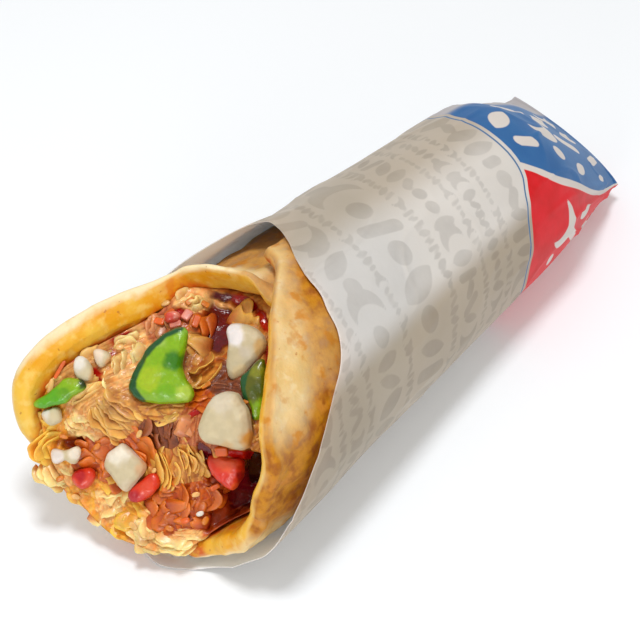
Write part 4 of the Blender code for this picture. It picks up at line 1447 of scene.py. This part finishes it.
def join_sheets(name, sheets, views, material):
    """Many sheets as one piece."""
    points, faces = joined([keep_clear(tuck_under(rings, views)) for rings, _ in sheets])
    tint = np.concatenate([colours.reshape(-1, 3) for _, colours in sheets])
    new_piece(name, points, faces, material, "chicken", tint=tint)


def meat_material():
    look = Shading("shaved_chicken", 0.44, Subsurface_Weight=0.25,
                   Subsurface_Radius=(0.005, 0.002, 0.0008), Subsurface_Scale=0.5,
                   Coat_Weight=0.28, Coat_Roughness=0.18)
    fine = look.step(look.noise(2.2, 3.0), 0.38, 0.66, 0.90, 1.05)
    look.base(look.scaled(look.colour("tint"), fine))
    look.bump(look.noise(0.8, 4.0), 0.10)
    return look.material


# Small loose bits that lie on the shavings: place by the photo's pixels, half length and
# half width in pixels, turn, colour, whether square cut
BITS = [
    ((200, 513), 3.8, 2.4, 20, "white", False), ((262, 396), 3.0, 2.4, 0, "white", False),
    # The pale bit at (140, 433) is painted highlight: a pale lump where light glints on the meat
    ((222, 450), 6.0, 4.6, 10, "carrot", True), ((140, 433), 4.5, 2.4, 60, "pale", False),
    ((60, 370), 9.5, 1.8, 62, "carrot", True), ((51, 387), 8.5, 2.8, 78, "pale", False),
    ((171, 315), 5.5, 3.8, 30, "carrot", True), ((187, 316), 5.6, 4.2, 60, "pink", True),
    ((176, 325), 5.6, 3.4, 10, "pink", True), ((160, 322), 5.0, 3.2, -20, "carrot", True),
    ((196, 322), 6.5, 3.2, 70, "carrot", True), ((166, 304), 4.5, 2.8, 15, "pale", False),
    ((190, 302), 4.5, 3.0, 40, "amber", True), ((205, 305), 4.0, 2.6, -30, "amber", True),
    ((97, 446), 4.2, 2.6, 40, "amber", False),
    ((108, 470), 3.6, 2.2, 0, "amber", False), ((155, 470), 3.2, 2.0, 50, "pale", False),
    ((186, 520), 4.6, 3.0, 20, "carrot", False), ((170, 528), 4.0, 2.6, -20, "amber", False),
    ((205, 520), 4.4, 3.0, 60, "amber", False), ((196, 494), 4.0, 2.4, 15, "pale", False),
    ((152, 536), 5.0, 3.0, 20, "pale", False), ((134, 526), 5.0, 3.2, -40, "pale", False),
    ((60, 478), 4.2, 2.6, 30, "amber", False), ((76, 496), 4.0, 2.6, -20, "pale", False),
    ((228, 396), 3.0, 1.8, 10, "amber", False), ((207, 386), 5.0, 2.2, 20, "amber", True),
    ((182, 340), 4.0, 2.4, 80, "amber", False), ((120, 348), 4.2, 2.8, 10, "pale", False),
    ((246, 402), 3.4, 2.2, 0, "amber", False), ((215, 486), 4.6, 2.6, 30, "carrot", True),
    ((64, 436), 4.2, 2.2, -15, "amber", False), ((88, 424), 3.0, 1.8, 20, "pale", False),
]
BIT_COLOURS = {
    "white": rgb(228, 220, 208), "carrot": rgb(216, 92, 6), "pink": rgb(222, 132, 112),
    "pale": rgb(228, 176, 104), "amber": rgb(206, 118, 20),
}
BIT_TURNS = 20
BIT_LEVELS = 12
BIT_LIFT = 0.6
BIT_FLATNESS = 0.55
BIT_RELIEF = ((0.22, 1.8, 90),)
BIT_SHADES = ((0.12, 1.6, 91),)
# A ball's coordinates to this power give a square-cut bit or a soft one
SQUARE_POWER = 0.4
SOFT_POWER = 0.9


def build_bits(front, material):
    """The small bits, each a soft or square-cut lump half sunk in what carries it."""
    right, up, _ = view_axes()
    around = np.linspace(0.0, 2.0 * math.pi, BIT_TURNS, endpoint=False)
    height = np.linspace(-0.5 * math.pi, 0.5 * math.pi, BIT_LEVELS + 2)[1:-1, None]
    ball = np.stack(np.broadcast_arrays(np.cos(height) * np.cos(around),
                                        np.cos(height) * np.sin(around),
                                        np.sin(height)), axis=-1)
    lumps, tint = [], []
    for pixel, length, width, turn, colour, square in BITS:
        middle, out_way = on_front(front, [pixel])
        form = np.sign(ball) * np.abs(ball)**(SQUARE_POWER if square else SOFT_POWER)
        along = math.cos(math.radians(turn)) * right + math.sin(math.radians(turn)) * up
        along = unit(along - out_way * (along @ out_way))
        axes = np.stack([along, np.cross(out_way, along), out_way])
        halves = np.array([length, width, BIT_FLATNESS * width]) * VIEW_DISTANCE / FOCAL
        lump = middle[0] + BIT_LIFT * out_way + (form * halves) @ axes
        lump = keep_clear(lump + layered(lump, BIT_RELIEF)[..., None] * out_way)
        shade = 1.0 + layered(lump, BIT_SHADES)[..., None]
        tint.append(np.clip(BIT_COLOURS[colour] * shade, 0.0, 1.0).reshape(-1, 3))
        lumps.append(lump)
    points, faces = joined(lumps)
    new_piece("filling_bits", points, faces, material, "chicken", tint=np.concatenate(tint))


# Toppings, each finer than its own solid and in the same place

TOPPING_COLOURS = {"cheese": rgb(198, 184, 150), "pepper": rgb(126, 170, 4),
                   "tomato": rgb(206, 48, 18)}
SKIN = rgb(16, 78, 34)

# Patches of colour on each topping: place by the photo's pixels, reach, colour. Besides the
# toppings' own tones they hold painted light and shade: lighter patches on the lit top and
# left, darker and yellower ones on the shaded right and lower sides
TONE_AND_LIGHT_PATCHES = {
    "cheese_chunk_1": [((234, 336), 13, rgb(226, 220, 218)), ((262, 350), 10, rgb(204, 168, 108)),
                       ((240, 374), 9, rgb(210, 188, 142)), ((246, 352), 8, rgb(204, 192, 168))],
    "cheese_chunk_2": [((222, 400), 15, rgb(204, 192, 168)), ((250, 438), 11, rgb(200, 142, 62)),
                       ((226, 448), 8, rgb(204, 176, 130)), ((240, 412), 8, rgb(206, 194, 162))],
    "cheese_chunk_3": [((116, 455), 13, rgb(228, 220, 202)), ((144, 470), 9, rgb(206, 170, 130)),
                       ((128, 486), 8, rgb(206, 190, 160)), ((140, 452), 7, rgb(208, 196, 186))],
    "cheese_chunk_4": [((76, 362), 12, rgb(224, 218, 206)), ((96, 374), 8, rgb(214, 160, 100))],
    "cheese_chunk_5": [((44, 412), 8, rgb(214, 206, 192)), ((40, 420), 6, rgb(212, 186, 146))],
    "cheese_chunk_6": [((55, 456), 9, rgb(218, 208, 200)), ((76, 454), 8, rgb(226, 214, 196)),
                       ((66, 467), 5, rgb(220, 186, 140))],
    "cheese_chunk_7": [((97, 355), 8, rgb(222, 204, 182)), ((111, 362), 8, rgb(224, 176, 122))],
    "pepper_piece_1": [((175, 361), 10, rgb(52, 118, 0)), ((160, 340), 9, rgb(150, 184, 70)),
                       ((150, 378), 12, rgb(156, 182, 20)), ((184, 392), 8, rgb(166, 192, 60)),
                       ((166, 392), 9, rgb(112, 166, 4)), ((182, 330), 6, rgb(128, 176, 50))],
    "pepper_piece_2": [((252, 380), 30, rgb(84, 88, 0)), ((258, 392), 8, rgb(70, 84, 0)),
                       ((256, 372), 6, rgb(120, 124, 20))],
    "pepper_piece_3": [((72, 378), 10, rgb(140, 168, 10)), ((84, 384), 6, rgb(34, 54, 4)),
                       ((50, 398), 14, rgb(86, 160, 12)), ((66, 392), 6, rgb(96, 150, 6))],
    "tomato_dice_1": [((226, 462), 11, rgb(222, 84, 44)), ((241, 476), 7, rgb(132, 10, 10)),
                      ((222, 480), 8, rgb(208, 40, 18)), ((236, 488), 5, rgb(216, 84, 40))],
    "tomato_dice_2": [((134, 497), 7, rgb(172, 8, 26)), ((148, 490), 8, rgb(216, 66, 34)),
                      ((142, 500), 5, rgb(206, 40, 30))],
    "tomato_dice_3": [((80, 476), 7, rgb(176, 12, 18)), ((90, 482), 6, rgb(214, 70, 50)),
                      ((74, 482), 5, rgb(212, 84, 60))],
    "tomato_dice_4": [((174, 314), 7, rgb(218, 128, 108)), ((170, 318), 5, rgb(204, 66, 50))],
}

# Toppings that keep a strip of skin: the edge it runs along by the photo's pixels, its width
SKINS = {
    "pepper_piece_1": ([(141, 402), (131, 390), (131, 380), (142, 355), (153, 343), (163, 334),
                        (178, 327)], 5.0),
    "pepper_piece_2": ([(250, 362), (244, 376), (242, 388), (246, 404), (251, 418)], 3.2),
}


# Relief and ragged borders as height, size and seed of noise, chips as height, size and
# seed, and how softly a patch and the skin end
TOPPING_VOXEL = 0.32
TOPPING_SWELL = 0.3
TOPPING_RELIEF = ((1.0, 3.2, 61), (0.5, 1.4, 62))
CHIP_HEIGHT = 1.6
CHIP_SIZE = 4.2
CHIP_SEED = 63
RAGGED = ((0.35, 2.6, 81), (0.15, 1.1, 82))
PATCH_END = (1.25, 0.55)
SKIN_END = (1.35, 0.85)
SKIN_RAGGED = 0.4


def topping_tint(name, points):
    """Colours of a topping from its patches, with painted light and shade among them, and its
    skin.
    """
    colour = np.tile(TOPPING_COLOURS[kind(name)], (len(points), 1))
    pixels = seen_at(points)
    ragged = layered(points, RAGGED)
    for pixel, reach, paint in TONE_AND_LIGHT_PATCHES[name]:
        near = np.linalg.norm(pixels - pixel, axis=1) / reach
        colour = blend(colour, np.array(paint), smooth(*PATCH_END, near + ragged)[:, None])
    if name in SKINS:
        edge, width = SKINS[name]
        near = line_distance(pixels[:, 0], pixels[:, 1], edge[:-1], edge[1:]) / width
        share = smooth(*SKIN_END, near + SKIN_RAGGED * ragged)
        colour = blend(colour, np.array(SKIN), share[:, None])
    return colour


def build_topping(name, material, slot, softness, rough):
    """The node's own form, remeshed finely, softened and given small relief."""
    piece = add_object(name + "_fine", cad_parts[name].data.copy())
    remesh = piece.modifiers.new("fine", "REMESH")
    remesh.mode = "VOXEL"
    remesh.voxel_size = TOPPING_VOXEL * MM
    soften = piece.modifiers.new("soft", "SMOOTH")
    soften.iterations = softness
    soften.factor = 0.5
    graph = bpy.context.evaluated_depsgraph_get()
    fine = bpy.data.meshes.new_from_object(piece.evaluated_get(graph))
    piece.modifiers.clear()
    piece.data = fine
    points = np.array([vertex.co for vertex in fine.vertices]) / MM
    normals = np.array([vertex.normal for vertex in fine.vertices])
    chips = CHIP_HEIGHT * np.abs(noise(points, CHIP_SIZE, CHIP_SEED))
    relief = rough * (layered(points, TOPPING_RELIEF) - chips) + TOPPING_SWELL
    fine.vertices.foreach_set("co", ((points + relief[:, None] * normals) * MM).ravel())
    fine.update()
    add_values(fine, {"tint": topping_tint(name, points + SHIFT)})
    dress(piece, material, name)


def topping_material(name, roughness, fine_size, relief, **settings):
    look = Shading(name, roughness, Subsurface_Scale=0.6, **settings)
    fine = look.step(look.noise(fine_size, 4.0), 0.35, 0.68, 0.94, 1.04)
    look.base(look.scaled(look.colour("tint"), fine))
    look.bump(look.noise(fine_size, 3.0), relief)
    return look.material


def build_toppings():
    cheese = topping_material("white_cheese", 0.48, 3.0, 0.05, Specular_IOR_Level=0.35,
                              Subsurface_Weight=0.3, Subsurface_Radius=(0.006, 0.005, 0.004))
    pepper = topping_material("green_pepper", 0.30, 1.3, 0.16, Subsurface_Weight=0.12,
                              Subsurface_Radius=(0.001, 0.003, 0.0005),
                              Coat_Weight=0.2, Coat_Roughness=0.12)
    tomato = topping_material("tomato_flesh", 0.34, 1.6, 0.14, Subsurface_Weight=0.15,
                              Subsurface_Radius=(0.005, 0.001, 0.0005),
                              Coat_Weight=0.2, Coat_Roughness=0.10)
    looks = {"cheese": (cheese, "cheese", 4, 0.10), "pepper": (pepper, "pepper", 2, 0.16),
             "tomato": (tomato, "tomato", 1, 0.26)}
    for name in sorted(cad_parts):
        if kind(name) in looks:
            build_topping(name, *looks[kind(name)])


# Floor, light and camera, in metres

FLOOR_COLOUR = (0.82, 0.86, 0.91)
FLOOR_GLOW = 0.13
FLOOR_SIZE = 6.0
SKY_COLOUR = (1.0, 0.96, 0.90, 1.0)
SKY_STRENGTH = 0.57
# Each light: its name, its place, what it points at, its size and its power in watts
LIGHTS = [("key", (-0.13, -0.05, 0.92), (-0.01, 0.0, 0.02), 0.22, 4.3),
          ("mouth_fill", (-0.72, -0.30, 0.22), (-0.08, 0.0, 0.03), 0.25, 1.4)]
NEAREST_SEEN = 0.01


def build_floor():
    look = Shading("pale_floor", 0.9, Emission_Color=(1.0, 1.0, 1.0, 1.0),
                   Emission_Strength=FLOOR_GLOW)
    look.base(FLOOR_COLOUR)
    bpy.ops.mesh.primitive_plane_add(size=FLOOR_SIZE)
    floor = bpy.context.object
    floor.name = "floor"
    floor.data.materials.append(look.material)


def build_light():
    world = bpy.context.scene.world or bpy.data.worlds.new("world")
    bpy.context.scene.world = world
    world.use_nodes = True
    background = world.node_tree.nodes["Background"]
    background.inputs["Color"].default_value = SKY_COLOUR
    background.inputs["Strength"].default_value = SKY_STRENGTH
    for name, location, target, size, power in LIGHTS:
        data = bpy.data.lights.new(name, "AREA")
        data.shape = "DISK"
        data.size = size
        data.energy = power
        light = add_object(name, data)
        light.location = location
        aim = Vector(target) - Vector(location)
        light.rotation_euler = aim.to_track_quat("-Z", "Y").to_euler()
    bpy.context.scene.view_settings.view_transform = "Standard"


def build_camera():
    back = Vector(view_axes()[2])
    data = bpy.data.cameras.new("camera")
    data.lens = VIEW_LENS
    data.sensor_width = SENSOR
    data.clip_start = NEAREST_SEEN
    camera = add_object("camera", data)
    target = (Vector(VIEW_TARGET) - Vector(SHIFT)) * MM
    camera.location = target + back * VIEW_DISTANCE * MM
    camera.rotation_euler = back.to_track_quat("Z", "Y").to_euler()
    bpy.context.scene.camera = camera


build_camera()
build_light()
build_floor()
build_paper()
build_bread()
toppings = topping_views()
front = plain_front()
meat = meat_material()
build_core(toppings)
build_shavings(front, toppings, meat)
build_bits(front, meat)
build_toppings()
